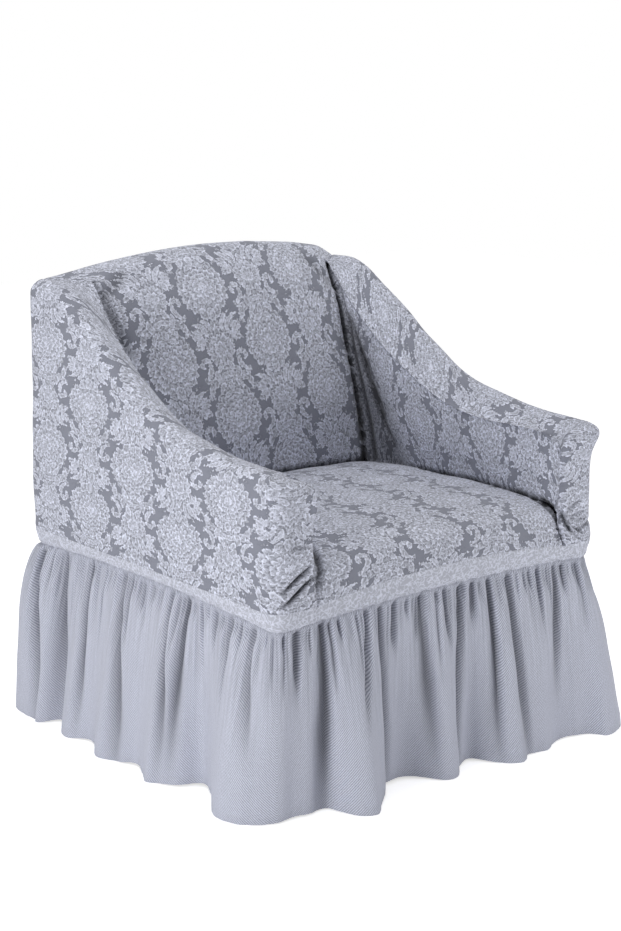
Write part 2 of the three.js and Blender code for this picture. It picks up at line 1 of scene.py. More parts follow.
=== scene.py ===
# Armchair slipcover: damask panels over a hollow seat, a plain waistband and a gathered skirt.
import bpy
import numpy as np
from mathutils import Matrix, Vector


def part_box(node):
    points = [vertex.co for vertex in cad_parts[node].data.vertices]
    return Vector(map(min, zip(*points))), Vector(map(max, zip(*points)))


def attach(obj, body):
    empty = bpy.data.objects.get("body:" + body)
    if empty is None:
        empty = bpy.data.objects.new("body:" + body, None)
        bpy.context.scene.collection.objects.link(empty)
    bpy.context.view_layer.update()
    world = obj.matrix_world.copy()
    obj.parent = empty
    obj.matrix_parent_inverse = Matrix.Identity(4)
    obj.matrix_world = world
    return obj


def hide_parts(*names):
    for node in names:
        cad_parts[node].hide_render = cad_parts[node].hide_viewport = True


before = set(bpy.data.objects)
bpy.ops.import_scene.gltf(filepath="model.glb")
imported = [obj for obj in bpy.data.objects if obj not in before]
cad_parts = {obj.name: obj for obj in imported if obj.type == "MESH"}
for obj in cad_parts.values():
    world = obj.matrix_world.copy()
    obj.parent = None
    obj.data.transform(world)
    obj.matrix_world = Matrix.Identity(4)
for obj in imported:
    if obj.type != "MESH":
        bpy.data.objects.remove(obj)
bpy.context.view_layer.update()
print("frame loaded")

scene = bpy.context.scene
millimetre = .001


def lerp(a, b, t):
    return a + (b - a) * t


def clip01(t):
    return np.clip(t, 0, 1)


def smooth(t):  # 3t² - 2t³, level at both ends
    t = clip01(t)
    return t * t * (3 - 2 * t)


def bell(t):  # e to the -t²
    return np.exp(-t * t)


def unit(v):
    return v / np.maximum(np.linalg.norm(v, axis=-1, keepdims=True), 1e-9)


def follow(table, key, wanted, at):
    # smooth curve through a table: a cubic between rows, with the mean slope at each row
    x, y = np.array(table[key], float), np.array(table[wanted], float)
    if x[0] > x[-1]:
        x, y = x[::-1], y[::-1]
    step = np.diff(x)
    slope = np.diff(y) / step
    inner = (slope[:-1] * step[1:] + slope[1:] * step[:-1]) / (step[:-1] + step[1:])
    slopes = np.concatenate((slope[:1], inner, slope[-1:]))
    at = np.clip(at, x[0], x[-1])
    i = np.clip(np.searchsorted(x, at) - 1, 0, len(x) - 2)
    t = (at - x[i]) / step[i]
    return (y[i] + (y[i + 1] - y[i]) * t * t * (3 - 2 * t)
            + slopes[i] * step[i] * t * (1 - t) ** 2 - slopes[i + 1] * step[i] * t * t * (1 - t))


wavePitch = (.7, 1.5)  # shortest and longest wave, as shares of the length asked for


def waves(p, amplitude, length, seed, count=7):
    # plane waves in random directions, added up to about the amplitude either way
    rng = np.random.default_rng(seed)
    total = np.zeros(p.shape[:-1])
    for _ in range(count):
        direction = unit(rng.normal(size=3))
        pitch = length * rng.uniform(*wavePitch)
        total += np.sin(2 * np.pi * (p @ direction) / pitch + rng.uniform(0, 2 * np.pi))
    return total * amplitude / np.sqrt(count)


# the shape of the cover, in metres, as it sits on the chair
cover = dict(halfWidth=.400, frontY=-.400, backY=.390, cornerRadius=.032, shoulderRadius=.026,
             armInside=.308, armInsideRadius=.012, bandTopZ=.383, cornerTopZ=.880)
armShape = dict(
    topLine=dict(
        y=[-.400, -.340, -.277, -.208, -.152, -.065, .026, .089, .153, .218, .265, .300, .358, .390],
        z=[.616, .619, .623, .631, .642, .662, .706, .747, .792, .831, .862, .876, .880, .880]),
    seamLine=dict(
        y=[-.388, -.383, -.370, -.348, -.310, -.265, -.175, -.055, .040, .140, .240, .290, .300],
        z=[.550, .564, .577, .589, .598, .599, .599, .620, .662, .721, .806, .864, .875]),
    sideFullness=dict(z=[.380, .440, .600, .740, .880], out=[.009, .010, .006, .003, 0]),
    noseFullness=dict(z=[.380, .396, .421, .480, .524, .545, .560, .575, .590, .603, .622],
                      out=[.006, .007, .003, .001, -.001, 0, .003, .009, .015, .016, .006]),
    frontEdge=dict(z=[.383, .398, .413, .425, .550], y=[-.404, -.3975, -.390, -.388, -.388]),
    noseDrop=.016, topRound=.6, seamTaper=.1, swell=.007,
    swellFade=.06, frontShare=.45, shareFrom=-.1, shareTo=.3, noseTurn=1.5, creaseReach=(.358, .150),
    edgePower=12, edgeSamples=161)
backShape = dict(
    creaseTop=(.300, .300, .875), creaseFoot=(.308, .180, .452),
    lean=dict(z=[.452, .530, .607, .693, .801, .875], y=[.180, .190, .206, .232, .262, .300]),
    crest=dict(x=[-.368, -.336, -.243, -.171, 0, .142, .278, .328, .368],
               z=[.880, .885, .901, .911, .925, .923, .911, .902, .880]),
    crestRise=.045, padding=.016, paddingPower=4, risePower=1.5, topFall=.001, topRound=.005,
    edgeRound=.028, edgeFade=.15, frontLength=.46, topLength=.068)
seatShape = dict(
    along=[0, .1, .2, .36, .57, .72, .83, .89, .94, 1],
    y=[.180, .116, .047, -.045, -.202, -.299, -.355, -.381, -.390, -.404],
    z=[.452, .460, .465, .467, .469, .465, .455, .438, .413, .383],
    crown=[.009, .014, .016, .018, .017, .016, .015, .017, .019, .020],
    full=[0, 0, 0, 0, 0, 0, .004, .009, .011, .001],
    crownPower=2.4, fullPower=6, bandOut=.004, bandFull=.001)
bandShape = dict(bottomZ=.346, tuck=.009, tuckPower=1.74, bow=.012, frontRise=.020)

flatHalf = cover["halfWidth"] - cover["cornerRadius"]
cornerRun = np.pi / 2 * cover["cornerRadius"]
sideRun = cover["backY"] - cover["frontY"] - 2 * cover["cornerRadius"]
frontCorner = cornerRun + sideRun
faceStart = frontCorner + cornerRun
insideStart = faceStart + flatHalf - cover["armInside"] - cover["armInsideRadius"]
edgeRun = np.pi / 2 * cover["armInsideRadius"]
ringHalf = 2 * flatHalf + faceStart
ringRun = 2 * ringHalf
# how far forward the seam on the arm's top is, for each run along the wall line
seamPlaces = dict(d=[cornerRun, cornerRun + .150, frontCorner - .060, frontCorner, faceStart, insideStart],
                  y=[.300, .190, -.308, -.348, -.370, -.382])


def armWall(d):  # plan line of the left side: back corner, straight side, front corner, front of the arm
    radius = cover["cornerRadius"]
    turn = np.clip(d / radius, 0, np.pi / 2) + np.clip((d - frontCorner) / radius, 0, np.pi / 2)
    nx, ny = -np.sin(turn), np.cos(turn)
    x = -flatHalf + radius * nx + np.clip(d - faceStart, 0, None)
    y = cover["backY"] - radius - np.clip(d - cornerRun, 0, sideRun) + radius * ny
    return x, y, nx, ny


def fullness(y, ny, z):  # how far the filled arm stands out from that line
    s = armShape
    onFront = clip01(-s["noseTurn"] * ny)
    share = lerp(s["frontShare"], 1, clip01((y - s["shareFrom"]) / (s["shareTo"] - s["shareFrom"])))
    side = follow(s["sideFullness"], "z", "out", z) * share
    return lerp(side, follow(s["noseFullness"], "z", "out", z), onFront)


def wallAndShoulder(x, y, nx, ny, topZ, v):  # v 0..1 straight up, 1..2 a quarter turn inwards
    radius = cover["shoulderRadius"]
    turn = np.clip(v - 1, 0, 1) * np.pi / 2
    z = lerp(cover["bandTopZ"], topZ - radius, clip01(v)) + radius * np.sin(turn)
    out = fullness(y, ny, z) - radius * (1 - np.cos(turn))
    return np.stack([x + nx * out, y + ny * out, z], -1)


def armTopZ(d):  # height of the crest over the wall line, dropping a little across the front of the arm
    y = armWall(d)[1]
    onNose = clip01((d - faceStart) / (insideStart - faceStart))
    return follow(armShape["topLine"], "y", "z", y) - armShape["noseDrop"] * onNose


def armSeam(d):  # the seam along the top of the arm, inside its crest
    topX, topY, topZ = backShape["creaseTop"]
    part = clip01(d / cornerRun)
    rearY = cover["backY"] - cover["shoulderRadius"]
    rear = np.stack([lerp(-flatHalf, -topX, part), lerp(rearY, topY, part),
                     lerp(cover["cornerTopZ"], topZ, part)], -1)
    y = follow(seamPlaces, "d", "y", d)
    x = lerp(-topX, -cover["armInside"], clip01((topY - y) / armShape["seamTaper"]))
    side = np.stack([x, y, follow(armShape["seamLine"], "y", "z", y)], -1)
    return np.where((d <= cornerRun)[..., None], rear, side)


def outerArm(d, v):  # v 0..1 up the wall, 1..2 over the shoulder, 2..3 across the top to the seam
    d, v = np.broadcast_arrays(np.asarray(d, float), np.asarray(v, float))
    onWall = np.minimum(d, insideStart)
    x, y, nx, ny = armWall(onWall)
    p = wallAndShoulder(x, y, nx, ny, armTopZ(onWall), np.minimum(v, 2))
    seam = armSeam(onWall)
    part = clip01(v - 2)
    drop = part ** 2 * (1 + armShape["topRound"] * (1 - part))
    p = np.stack([lerp(p[..., 0], seam[..., 0], part), lerp(p[..., 1], seam[..., 1], part),
                  lerp(p[..., 2], seam[..., 2], drop)], -1)
    turn = clip01((d - insideStart) / edgeRun) * np.pi / 2
    if turn.max() > 0:  # the narrow quarter turn down the inner front edge
        steps = np.linspace(0, 2, armShape["edgeSamples"])
        line = outerArm(np.full_like(steps, insideStart), steps)
        run = np.concatenate(([0], np.cumsum(np.linalg.norm(np.diff(line, axis=0), axis=1))))
        height = np.interp(np.minimum(v, 2), steps, run / run[-1])
        z = lerp(cover["bandTopZ"], armShape["frontEdge"]["z"][-1], height)
        edgeY = follow(armShape["frontEdge"], "z", "y", z)
        p = np.stack([lerp(p[..., 0], -cover["armInside"], np.sin(turn)),
                      lerp(p[..., 1], edgeY, 1 - np.cos(turn)),
                      lerp(p[..., 2], z, turn * 2 / np.pi)], -1)
    return p


def creaseLine(up):  # where the inside back meets the arm, foot to top
    foot, top = backShape["creaseFoot"], backShape["creaseTop"]
    z = lerp(foot[2], top[2], up)
    return np.stack([-lerp(foot[0], top[0], up), follow(backShape["lean"], "z", "y", z), z], -1)


def innerArm(d, t):  # straight lines from the seat's side up to the seam on top of the arm
    d, t = np.broadcast_arrays(np.asarray(d, float), np.asarray(t, float))
    footY, topY = backShape["creaseFoot"][1], backShape["creaseTop"][1]
    top = outerArm(d, np.full_like(d, 3))
    endY = armShape["frontEdge"]["y"][-1]
    forward = (topY - top[..., 1]) / (topY - endY)
    y = lerp(footY, seatShape["y"][-2], forward)
    sides = {key: seatShape[key][:-1] for key in ("y", "z")}
    foot = np.stack([np.full_like(y, -cover["armInside"]), y, follow(sides, "y", "z", y)], -1)
    p = lerp(foot, top, t[..., None])
    wallY = armWall(np.minimum(d, insideStart))[1]
    fromY, toY = armShape["creaseReach"]
    near = clip01((wallY - toY) / (fromY - toY))[..., None] ** 2
    p = p + near * (creaseLine(t) - lerp(creaseLine(0.), creaseLine(1.), t[..., None]))
    fade = (1 - forward) * smooth((fromY - wallY) / armShape["swellFade"])
    p[..., 0] += armShape["swell"] * np.sin(np.pi * t) * fade
    edgeY = follow(armShape["frontEdge"], "z", "y", p[..., 2])
    p[..., 1] = lerp(p[..., 1], edgeY, forward ** armShape["edgePower"])
    return p


def crestZ(x):  # height of the back's crowned top edge
    return follow(backShape["crest"], "x", "z", x)


def seat(a, along):  # a -1..1 from side to side, along 0..1 from the back crease to the waistband
    a, along = np.broadcast_arrays(np.asarray(a, float), np.asarray(along, float))
    s = seatShape
    y, z, crown, full = (follow(s, "along", key, along) for key in ("y", "z", "crown", "full"))
    return np.stack([a * cover["armInside"], y - full * (1 - a ** s["fullPower"]),
                     z + crown * (1 - np.abs(a) ** s["crownPower"])], -1)


def sharpBack(a, s):  # s 0..1 up the front, 1..2 back over the top
    a, s = np.broadcast_arrays(np.asarray(a, float), np.asarray(s, float))
    up, over = clip01(s), clip01(s - 1)
    b = backShape
    crest = (crestZ(a * flatHalf) - cover["cornerTopZ"]) / b["crestRise"]
    side = creaseLine(up)
    padding = b["padding"] * np.sin(np.pi * up) * (1 - a ** b["paddingPower"])
    foot = seatShape["crown"][0] * (1 - np.abs(a) ** seatShape["crownPower"])
    rise = lerp(foot, (b["crestRise"] - b["topFall"]) * crest, up ** b["risePower"])
    front = np.stack([-a * side[..., 0], side[..., 1] - padding, side[..., 2] + rise], -1)
    topX, topY, topZ = b["creaseTop"]
    rearY = cover["backY"] - cover["shoulderRadius"]
    lift = b["crestRise"] - b["topFall"] * (1 - over) + b["topRound"] * np.sin(np.pi * over)
    top = np.stack([a * lerp(topX, flatHalf, over), lerp(topY, rearY, over),
                    lerp(topZ, cover["cornerTopZ"], over) + lift * crest], -1)
    return np.where((s <= 1)[..., None], front, top)


def insideBack(a, s):  # the same with its top edge rounded: a three-point curve across the edge
    a, s = np.broadcast_arrays(np.asarray(a, float), np.asarray(s, float))
    b = backShape
    reach = b["edgeRound"] * smooth((1 - np.abs(a)) / b["edgeFade"]) + 1e-5
    run = (s - 1) * np.where(s < 1, b["frontLength"], b["topLength"])
    w = clip01((run + reach) / (2 * reach))[..., None]
    before = sharpBack(a, 1 - reach / b["frontLength"])
    after = sharpBack(a, 1 + reach / b["topLength"])
    curve = (1 - w) ** 2 * before + 2 * w * (1 - w) * sharpBack(a, 1.) + w ** 2 * after
    return np.where((np.abs(run) < reach)[..., None], curve, sharpBack(a, s))


def outsideBack(a, v):  # a -1..1 from side to side, v 0..1 straight up, 1..2 over the rounded top edge
    a, v = np.broadcast_arrays(np.asarray(a, float), np.asarray(v, float))
    x = a * flatHalf
    one = np.ones_like(x)
    return wallAndShoulder(x, cover["backY"] * one, 0 * one, one, crestZ(x), v)


def ring(q):  # q metres round the waist from the middle of the back, left side first
    q = np.asarray(q, float) % ringRun
    side = np.where(q <= ringHalf, 1., -1.)
    h = np.where(q <= ringHalf, q, ringRun - q)
    d = h - flatHalf
    x, y, nx, ny = armWall(np.maximum(d, 0))
    onBack = d < 0
    x, y = np.where(onBack, -h, x), np.where(onBack, cover["backY"], y)
    nx, ny = np.where(onBack, 0, nx), np.where(onBack, 1, ny)
    inside = cover["armInside"]
    a = clip01(np.abs(x) / inside)
    onSeat = (d > faceStart) & (np.abs(x) < inside + cover["armInsideRadius"])
    out = fullness(y, ny, np.full_like(x, cover["bandTopZ"]))
    seatOut = seatShape["bandOut"] + seatShape["bandFull"] * (1 - a ** seatShape["fullPower"])
    part = smooth((np.abs(x) - inside) / cover["armInsideRadius"])
    out = np.where(d > faceStart, lerp(seatOut, out, part), out)
    rise = bandShape["frontRise"] * (1 - a ** seatShape["crownPower"])
    topZ = cover["bandTopZ"] + np.where(onSeat, rise, 0)
    place = np.where(onBack, x / flatHalf, np.where(d <= faceStart, y / cover["backY"], x / flatHalf))
    bow = 1 - np.minimum(1, np.abs(place)) ** 2
    return np.stack([(x + nx * out) * side, y + ny * out], -1), np.stack([nx * side, ny], -1), topZ, bow


def band(q, t):  # t 0 at the top edge, 1 at the bottom
    q, t = np.broadcast_arrays(np.asarray(q, float), np.asarray(t, float))
    p, n, topZ, bow = ring(q)
    low = bandShape["bottomZ"] + bandShape["bow"] * bow
    xy = p - n * (bandShape["tuck"] * t ** bandShape["tuckPower"])[..., None]
    return np.concatenate([xy, lerp(topZ, low, t)[..., None]], -1)


# main folds at the hem, in mm: place along the side, how far out, lifted from the floor, puffed half-way down
mainFolds = dict(
    left=dict(at=[362, 330, 296, 262, 222, 190, 135, 100, 58, 26, -22, -60, -98, -130, -178, -222, -262,
                  -312, -358],
              out=[54, 56, 60, 28, 44, 54, 38, 48, 68, 62, 36, 50, 69, 48, -8, 8, 34, 56, 42],
              lift=[0, 0, 0, 5, 0, 0, 4, 2, 0, 0, 5, 2, 0, 2, 6, 4, 2, 0, 0],
              puff=[20, 12] + [0] * 17),
    front=dict(at=[-393, -368, -330, -292, -262, -228, -186, -128, -92, -55, -18, 30, 66, 100, 138, 176,
                   222, 300, 336, 376],
               out=[2, -10, -7, 10, 48, 73, 38, -14, -12, 14, 40, 18, 0, 44, 72, 52, 60, 36, 50, 81],
               lift=[2, 4, 4, 2, 0, 0, 3, 6, 6, 3, 0, 3, 5, 1, 0, 2, 0, 3, 2, 0],
               puff=[0] * 20),
    right=dict(at=[-366, -318, -262, -205, -140, -84, -22, 40, 96, 150, 214, 276, 330, 364],
               out=[60, 30, 58, 26, 62, 32, 55, 18, 58, 34, 64, 30, 56, 50],
               lift=[0, 4, 0, 4, 0, 5, 0, 5, 0, 3, 0, 4, 0, 0], puff=[0] * 14),
    back=dict(at=[366, 310, 256, 196, 130, 66, 4, -58, -120, -186, -246, -306, -366],
              out=[34, 22, 54, 24, 60, 28, 52, 20, 58, 30, 56, 26, 52],
              lift=[2, 4, 0, 5, 0, 4, 0, 5, 0, 4, 0, 4, 0], puff=[0] * 12 + [16]))
skirtShape = dict(rise=.8, height=.352, closerAtTop=.65, hemWave=.004, waveLength=.09, waveSeed=31,
                  waveCount=9, wavePower=1.5, rising=.3, leastHeight=.0004)


def hemRows():  # the four sides' rows in one table round the hem, wrapped at both ends
    start = dict(
        left=flatHalf + cornerRun + cover["backY"] - cover["cornerRadius"],
        front=flatHalf + faceStart + flatHalf,
        right=ringRun - flatHalf - frontCorner - cover["frontY"] - cover["cornerRadius"],
        back=ringRun)
    way = dict(left=-1, front=1, right=1, back=-1)
    places = [start[side] + way[side] * np.array(mainFolds[side]["at"]) * millimetre for side in start]
    q = np.concatenate(places) % ringRun
    order = np.argsort(q)
    rows = dict(q=np.concatenate(([q[order[-1]] - ringRun], q[order], [q[order[0]] + ringRun])))
    for key in ("out", "lift", "puff"):
        values = np.concatenate([mainFolds[side][key] for side in start])[order] * millimetre
        rows[key] = np.concatenate((values[-1:], values, values[:1]))
    return rows


hem = hemRows()


def skirt(q, down):  # down 0..1: the folds open out from the waistband to the hem
    q, down = np.broadcast_arrays(np.asarray(q, float), np.asarray(down, float))
    p, n, topZ, bow = ring(q)
    low = bandShape["bottomZ"] + bandShape["bow"] * bow
    out, lift, puff = (follow(hem, "q", key, q % ringRun) for key in ("out", "lift", "puff"))
    tuck = bandShape["tuck"]
    reach = (tuck + out) * down ** skirtShape["rise"] - tuck + puff * np.sin(np.pi * np.sqrt(down))
    xy = p + n * reach[..., None]
    return np.concatenate([xy, lerp(low, np.maximum(lift, 0), down)[..., None]], -1)


print("shapes ready")


def rowsWithEdges(count, low=True, high=True, near=(0, .003, .007, .012, .019, .028)):
    # even rows from 0 to 1 with closer ones along a sewn edge
    start = list(near) if low else [0]
    end = [1 - step for step in near][::-1] if high else [1]
    middle = np.linspace(start[-1], end[0], count - len(start) - len(end) + 2)[1:-1]
    return np.concatenate((start, middle, end))


def rowsOver(first, last, turn=0):
    # rows up to an edge, some round its turn, and the rest from there on; closer ones at both sewn ends
    over = 1 + np.arange(1, turn + 1) / max(turn, 1)
    rest = (2 if turn else 1) + rowsWithEdges(last + 1, low=False)[1:]
    return np.concatenate((rowsWithEdges(first, high=False), over, rest))


def runAlong(p, axis):  # length run along one way of the grid, from its first row
    step = np.linalg.norm(np.diff(p, axis=axis), axis=-1)
    zero = np.zeros_like(np.take(step, [0], axis=axis))
    return np.concatenate((zero, np.cumsum(step, axis=axis)), axis=axis)


def normals(p, closed=False):  # the two directions of the grid, crossed
    if closed:
        wrapped = np.concatenate((p[-1:], p, p[:1]))
        along = np.gradient(wrapped, axis=0)[1:-1]
    else:
        along = np.gradient(p, axis=0)
    return unit(np.cross(along, np.gradient(p, axis=1)))


# creases on the flat cloth, in metres: from a point along and up to another point, half-width and depth;
# a depth below 0 makes a ridge, and each crease's depth also paints shade into the cloth's colour
creases = dict(
    outer_arm_left=[
        ((.876, .074), (.810, .034), .0036, .010),
        ((.890, .060), (.806, .008), .0036, .010),
        ((.864, .050), (.828, .022), .0026, .005),
        ((.884, .066), (.826, .030), .004, -.004),
        ((.868, .108), (.830, .112), .003, .0045),
        ((.888, .130), (.892, .050), .005, .007)],
    outer_arm_right=[
        ((.896, .072), (.864, .024), .0036, .0105),
        ((.874, .036), (.836, .000), .0036, .0035),
        ((.834, .085), (.874, .070), .0030, .0050),
        ((.826, .062), (.870, .053), .0030, .0045),
        ((.820, .046), (.858, .044), .0026, .0040),
        ((.864, .038), (.834, .018), .0028, .0065),
        ((.745, .062), (.800, .052), .004, .005),
        ((.765, .045), (.850, .026), .004, .006)],
    inner_arm_right=[
        # the first two troughs lie in the corner by the back; they are shallow for their width and are there
        # mostly for their painted shade of that corner
        ((.140, -.240), (.036, .330), .062, .0065),
        ((.030, -.140), (.018, .440), .016, .008),
        ((.036, .330), (.080, .190), .011, .005),
        ((.050, .250), (.104, .100), .012, .005),
        ((.066, .150), (.125, .030), .008, .004)],
    inner_arm_left=[
        # a milder trough of the same painted shade in the corner by the back
        ((.110, -.230), (.036, .330), .055, .0030),
        ((.060, .110), (.190, .280), .018, .005)],
    seat_panel=[
        # beside the left arm's nose, where the nose hides most of it: what shows is mostly its painted shade
        ((-.304, .606), (-.250, .486), .0056, .010),
        ((.304, .592), (.302, .500), .0046, .006),
        ((.303, .600), (.290, .632), .004, .003),
        ((-.298, .560), (-.262, .540), .004, .0025),
        ((-.298, .584), (-.266, .572), .004, .0025)],
    inside_back=[
        # along the line where the left arm's edge hides the back: its painted shade stands in for the shade
        # behind the arm
        ((-.308, .436), (-.262, .270), .011, .0065),
        ((-.300, .400), (-.210, .470), .012, .004),
        ((.300, .380), (.230, .465), .012, .004)])


def creaseDepth(flat, rows):  # each crease: a bell across its line, fading out at both ends
    total = np.zeros(flat.shape[:-1])
    for fro, to, width, depth in rows:
        way = np.subtract(to, fro)
        along = clip01((flat - fro) @ way / (way @ way))
        across = np.linalg.norm(flat - fro - along[..., None] * way, axis=-1)
        total += depth * bell(across / width) * np.sqrt(np.sin(np.pi * along))
    return total


# shadeFullAt: the depth of a crease or seam at which its painted shade is full
clothShape = dict(
    thickness=.0018, unevenness=.0011, unevenLength=.13, unevenFrom=.020, unevenSeed=5, creaseFrom=.003,
    seamDip=.0010, seamWidth=.0024, widening=.45, welt=.4, weltPlace=.008, weltWidth=.004, mostWelt=.0008,
    pucker=.4, puckerLength=.016, puckerSeed=11, mitreWidth=.004, seamReach=.008, leastMitre=.45, gap=.00015,
    shadeFullAt=.009, leastHeight=.0003)

# how deep a seam is drawn in where two pieces meet; below 0 it stands up a little; a deep seam also gets
# painted shade in the cloth's colour
seamDepths = {
    ("inside_back", "seat_panel"): .012,
    ("inner_arm", "inside_back"): .013,
    ("inner_arm", "seat_panel"): .009,
    ("inner_arm", "outer_arm"): -.0014,
    ("outer_arm", "seat_panel"): .0025,
    ("outer_arm", "waistband"): .0005,
    ("seat_panel", "waistband"): .0005,
    ("outside_back", "waistband"): .0005,
    ("skirt", "waistband"): .0025}


def kind(name):  # left and right pieces are cut alike
    return name.replace("_left", "").replace("_right", "")


def fromEdges(p, closed):  # run from the nearest edge that is sewn or hemmed
    least = np.inf
    for axis in (1,) if closed else (0, 1):
        run = runAlong(p, axis)
        least = np.minimum(least, np.minimum(run, run.max(axis, keepdims=True) - run))
    return least


def panelSurface(name, p, across, away, up=None, closed=False):
    # the grid turned to face the way it is told, then its creases and slight unevenness;
    # flat is where each point lies on the cloth before it is sewn, in metres across and up
    up = runAlong(p, 1) if up is None else up
    flat = np.stack([np.broadcast_to(across, up.shape), up], -1)
    inwards = np.mean((normals(p, closed) * away).sum(-1)) < 0
    if inwards:
        p, flat = p[::-1], flat[::-1]
    n = normals(p, closed)
    edge = fromEdges(p, closed)
    lift = waves(p, clothShape["unevenness"], clothShape["unevenLength"], clothShape["unevenSeed"])
    lift = lift * smooth(edge / clothShape["unevenFrom"])
    deep = creaseDepth(flat, creases.get(name, [])) * smooth(edge / clothShape["creaseFrom"])
    # painted shade in the creases: the deeper, the darker
    shade = clip01(deep / clothShape["shadeFullAt"])
    p = p + n * (lift - deep)[..., None]
    return dict(name=name, p=p, flat=flat, closed=closed, reversed=inwards, shade=shade)


def borders(panel):  # its open edges: which way the grid runs, and the row the edge is on
    ends = [(1, 0), (1, -1)]
    if not panel["closed"]:
        ends += [(0, 0), (0, -1)]
    return ends


def matchSeams(panels):
    # at each edge, the nearest edge of another panel gives the direction the shared seam is drawn in
    places, facings, owners = [], [], []
    for number, panel in enumerate(panels):
        panel["n"] = normals(panel["p"], panel["closed"])
        for axis, row in borders(panel):
            places.append(np.take(panel["p"], row, axis=axis))
            facings.append(np.take(panel["n"], row, axis=axis))
            owners.append(np.full(len(places[-1]), number))
    places, facings, owners = np.concatenate(places), np.concatenate(facings), np.concatenate(owners)
    for number, panel in enumerate(panels):
        others = owners != number
        theirs, theirFacing = places[others], facings[others]
        panel["seams"] = {}
        for axis, row in borders(panel):
            mine = np.take(panel["p"], row, axis=axis)
            own = np.take(panel["n"], row, axis=axis)
            square = (mine ** 2).sum(-1)[:, None] + (theirs ** 2).sum(-1) - 2 * mine @ theirs.T
            nearest = square.argmin(1)
            joined = square[np.arange(len(mine)), nearest] < clothShape["seamReach"] ** 2
            other = np.where(joined[:, None], theirFacing[nearest], own)
            share = np.maximum(1 + (own * other).sum(-1, keepdims=True), clothShape["leastMitre"])
            pairs = [tuple(sorted((kind(panel["name"]), kind(neighbour["name"])))) for neighbour in panels]
            depths = np.array([seamDepths.get(pair, clothShape["seamDip"]) for pair in pairs])
            depth = np.where(joined, depths[owners[others][nearest]], clothShape["seamDip"])
            panel["seams"][axis, row] = (own + other) / share, depth


def sewn(panel, thickness):
    # the outer face dips into each seam and puffs up beside it; the inner face follows, mitred at the seams
    s = clothShape
    p, inward = panel["p"].copy(), -panel["n"]
    strongest = np.zeros(p.shape[:2])
    shade = np.zeros(p.shape[:2])
    for (axis, row), (mitre, depth) in panel["seams"].items():
        run = runAlong(panel["p"], axis)
        if row == -1:
            run = np.take(run, [-1], axis=axis) - run
        mitre = np.expand_dims(mitre, axis)
        depth = np.expand_dims(depth, axis)
        width = s["seamWidth"] + s["widening"] * depth
        place = np.take(panel["p"], [row], axis=axis)
        pucker = 1 + s["pucker"] * waves(place, 1, s["puckerLength"], s["puckerSeed"])
        dip = depth * bell(run / width) * pucker
        puff = s["welt"] * np.minimum(depth, s["mostWelt"])
        welt = puff * bell((run - s["weltPlace"]) / s["weltWidth"]) * pucker
        # painted shade in the seam's dip
        shade = np.maximum(shade, clip01(dip / s["shadeFullAt"]))
        p -= unit(mitre) * dip[..., None] - panel["n"] * welt[..., None]
        inside = np.take(panel["p"], [1 if row == 0 else -2], axis=axis) - place
        p += unit(inside) * (s["gap"] * bell(run / s["seamWidth"]))[..., None]
        weight = bell(run / s["mitreWidth"])
        nearer = weight > strongest
        inward = np.where(nearer[..., None], lerp(-panel["n"], -mitre, weight[..., None]), inward)
        strongest = np.maximum(strongest, weight)
    return p, p + inward * thickness, np.maximum(shade, panel["shade"])


def sheetFaces(index, under, closed):
    # a skin of quads outside, the same turned over inside, and a strip round each open edge
    def quads(*corners):
        return np.stack(corners, -1).reshape(-1, 4)

    faces = [quads(index[:-1, :-1], index[1:, :-1], index[1:, 1:], index[:-1, 1:]),
             quads(under[:-1, :-1], under[:-1, 1:], under[1:, 1:], under[1:, :-1]),
             quads(index[:-1, 0], under[:-1, 0], under[1:, 0], index[1:, 0]),
             quads(index[1:, -1], under[1:, -1], under[:-1, -1], index[:-1, -1])]
    if not closed:
        faces += [quads(index[0, 1:], under[0, 1:], under[0, :-1], index[0, :-1]),
                  quads(index[-1, :-1], under[-1, :-1], under[-1, 1:], index[-1, 1:])]
    return np.concatenate(faces)


def rims(me, count, rows, closed):  # the edges along the outline of either skin
    ends = np.empty(len(me.edges) * 2, np.int32)
    me.edges.foreach_get("vertices", ends)
    ends = ends.reshape(-1, 2)
    skin, column, row = ends // (count * rows), ends // rows % count, ends % rows
    onEdge = (row[:, 0] == row[:, 1]) & np.isin(row[:, 0], (0, rows - 1))
    if not closed:
        onEdge |= (column[:, 0] == column[:, 1]) & np.isin(column[:, 0], (0, count - 1))
    return onEdge & (skin[:, 0] == skin[:, 1])


def sheetMesh(name, outer, inner, uv, shade, closed, turn):
    # one closed mesh of both skins; turn is how far the map goes on in one round of a closed panel
    count, rows = outer.shape[:2]
    index = np.arange(count * rows).reshape(count, rows)
    if closed:
        index = np.concatenate((index, index[:1]))
    faces = sheetFaces(index, index + count * rows, closed)
    me = bpy.data.meshes.new(name)
    me.vertices.add(2 * count * rows)
    me.vertices.foreach_set("co", np.stack((outer, inner)).astype(np.float32).ravel())
    me.loops.add(faces.size)
    me.loops.foreach_set("vertex_index", faces.ravel().astype(np.int32))
    me.polygons.add(len(faces))
    me.polygons.foreach_set("loop_start", np.arange(0, faces.size, 4, dtype=np.int32))
    me.update(calc_edges=True)
    me.polygons.foreach_set("use_smooth", np.ones(len(faces), bool))
    flat = np.concatenate((uv.reshape(-1, 2), uv.reshape(-1, 2)))[faces]
    if closed:  # the last column of faces meets the first row again, one turn further on
        column = faces // rows % count
        wraps = (column.max(1) - column.min(1) > 1)[:, None] & (column == 0)
        flat[..., 0] += np.where(wraps, turn, 0)
    layer = me.uv_layers.new(name="clothMap")
    layer.uv.foreach_set("vector", flat.astype(np.float32).ravel())
    attribute = me.attributes.new("creaseShade", "FLOAT", "POINT")
    attribute.data.foreach_set("value", np.stack((shade, shade)).astype(np.float32).ravel())
    attribute = me.attributes.new("sharp_edge", "BOOLEAN", "EDGE")
    attribute.data.foreach_set("value", rims(me, count, rows, closed))
    me.validate()
    piece = bpy.data.objects.new(name, me)
    scene.collection.objects.link(piece)
    return piece


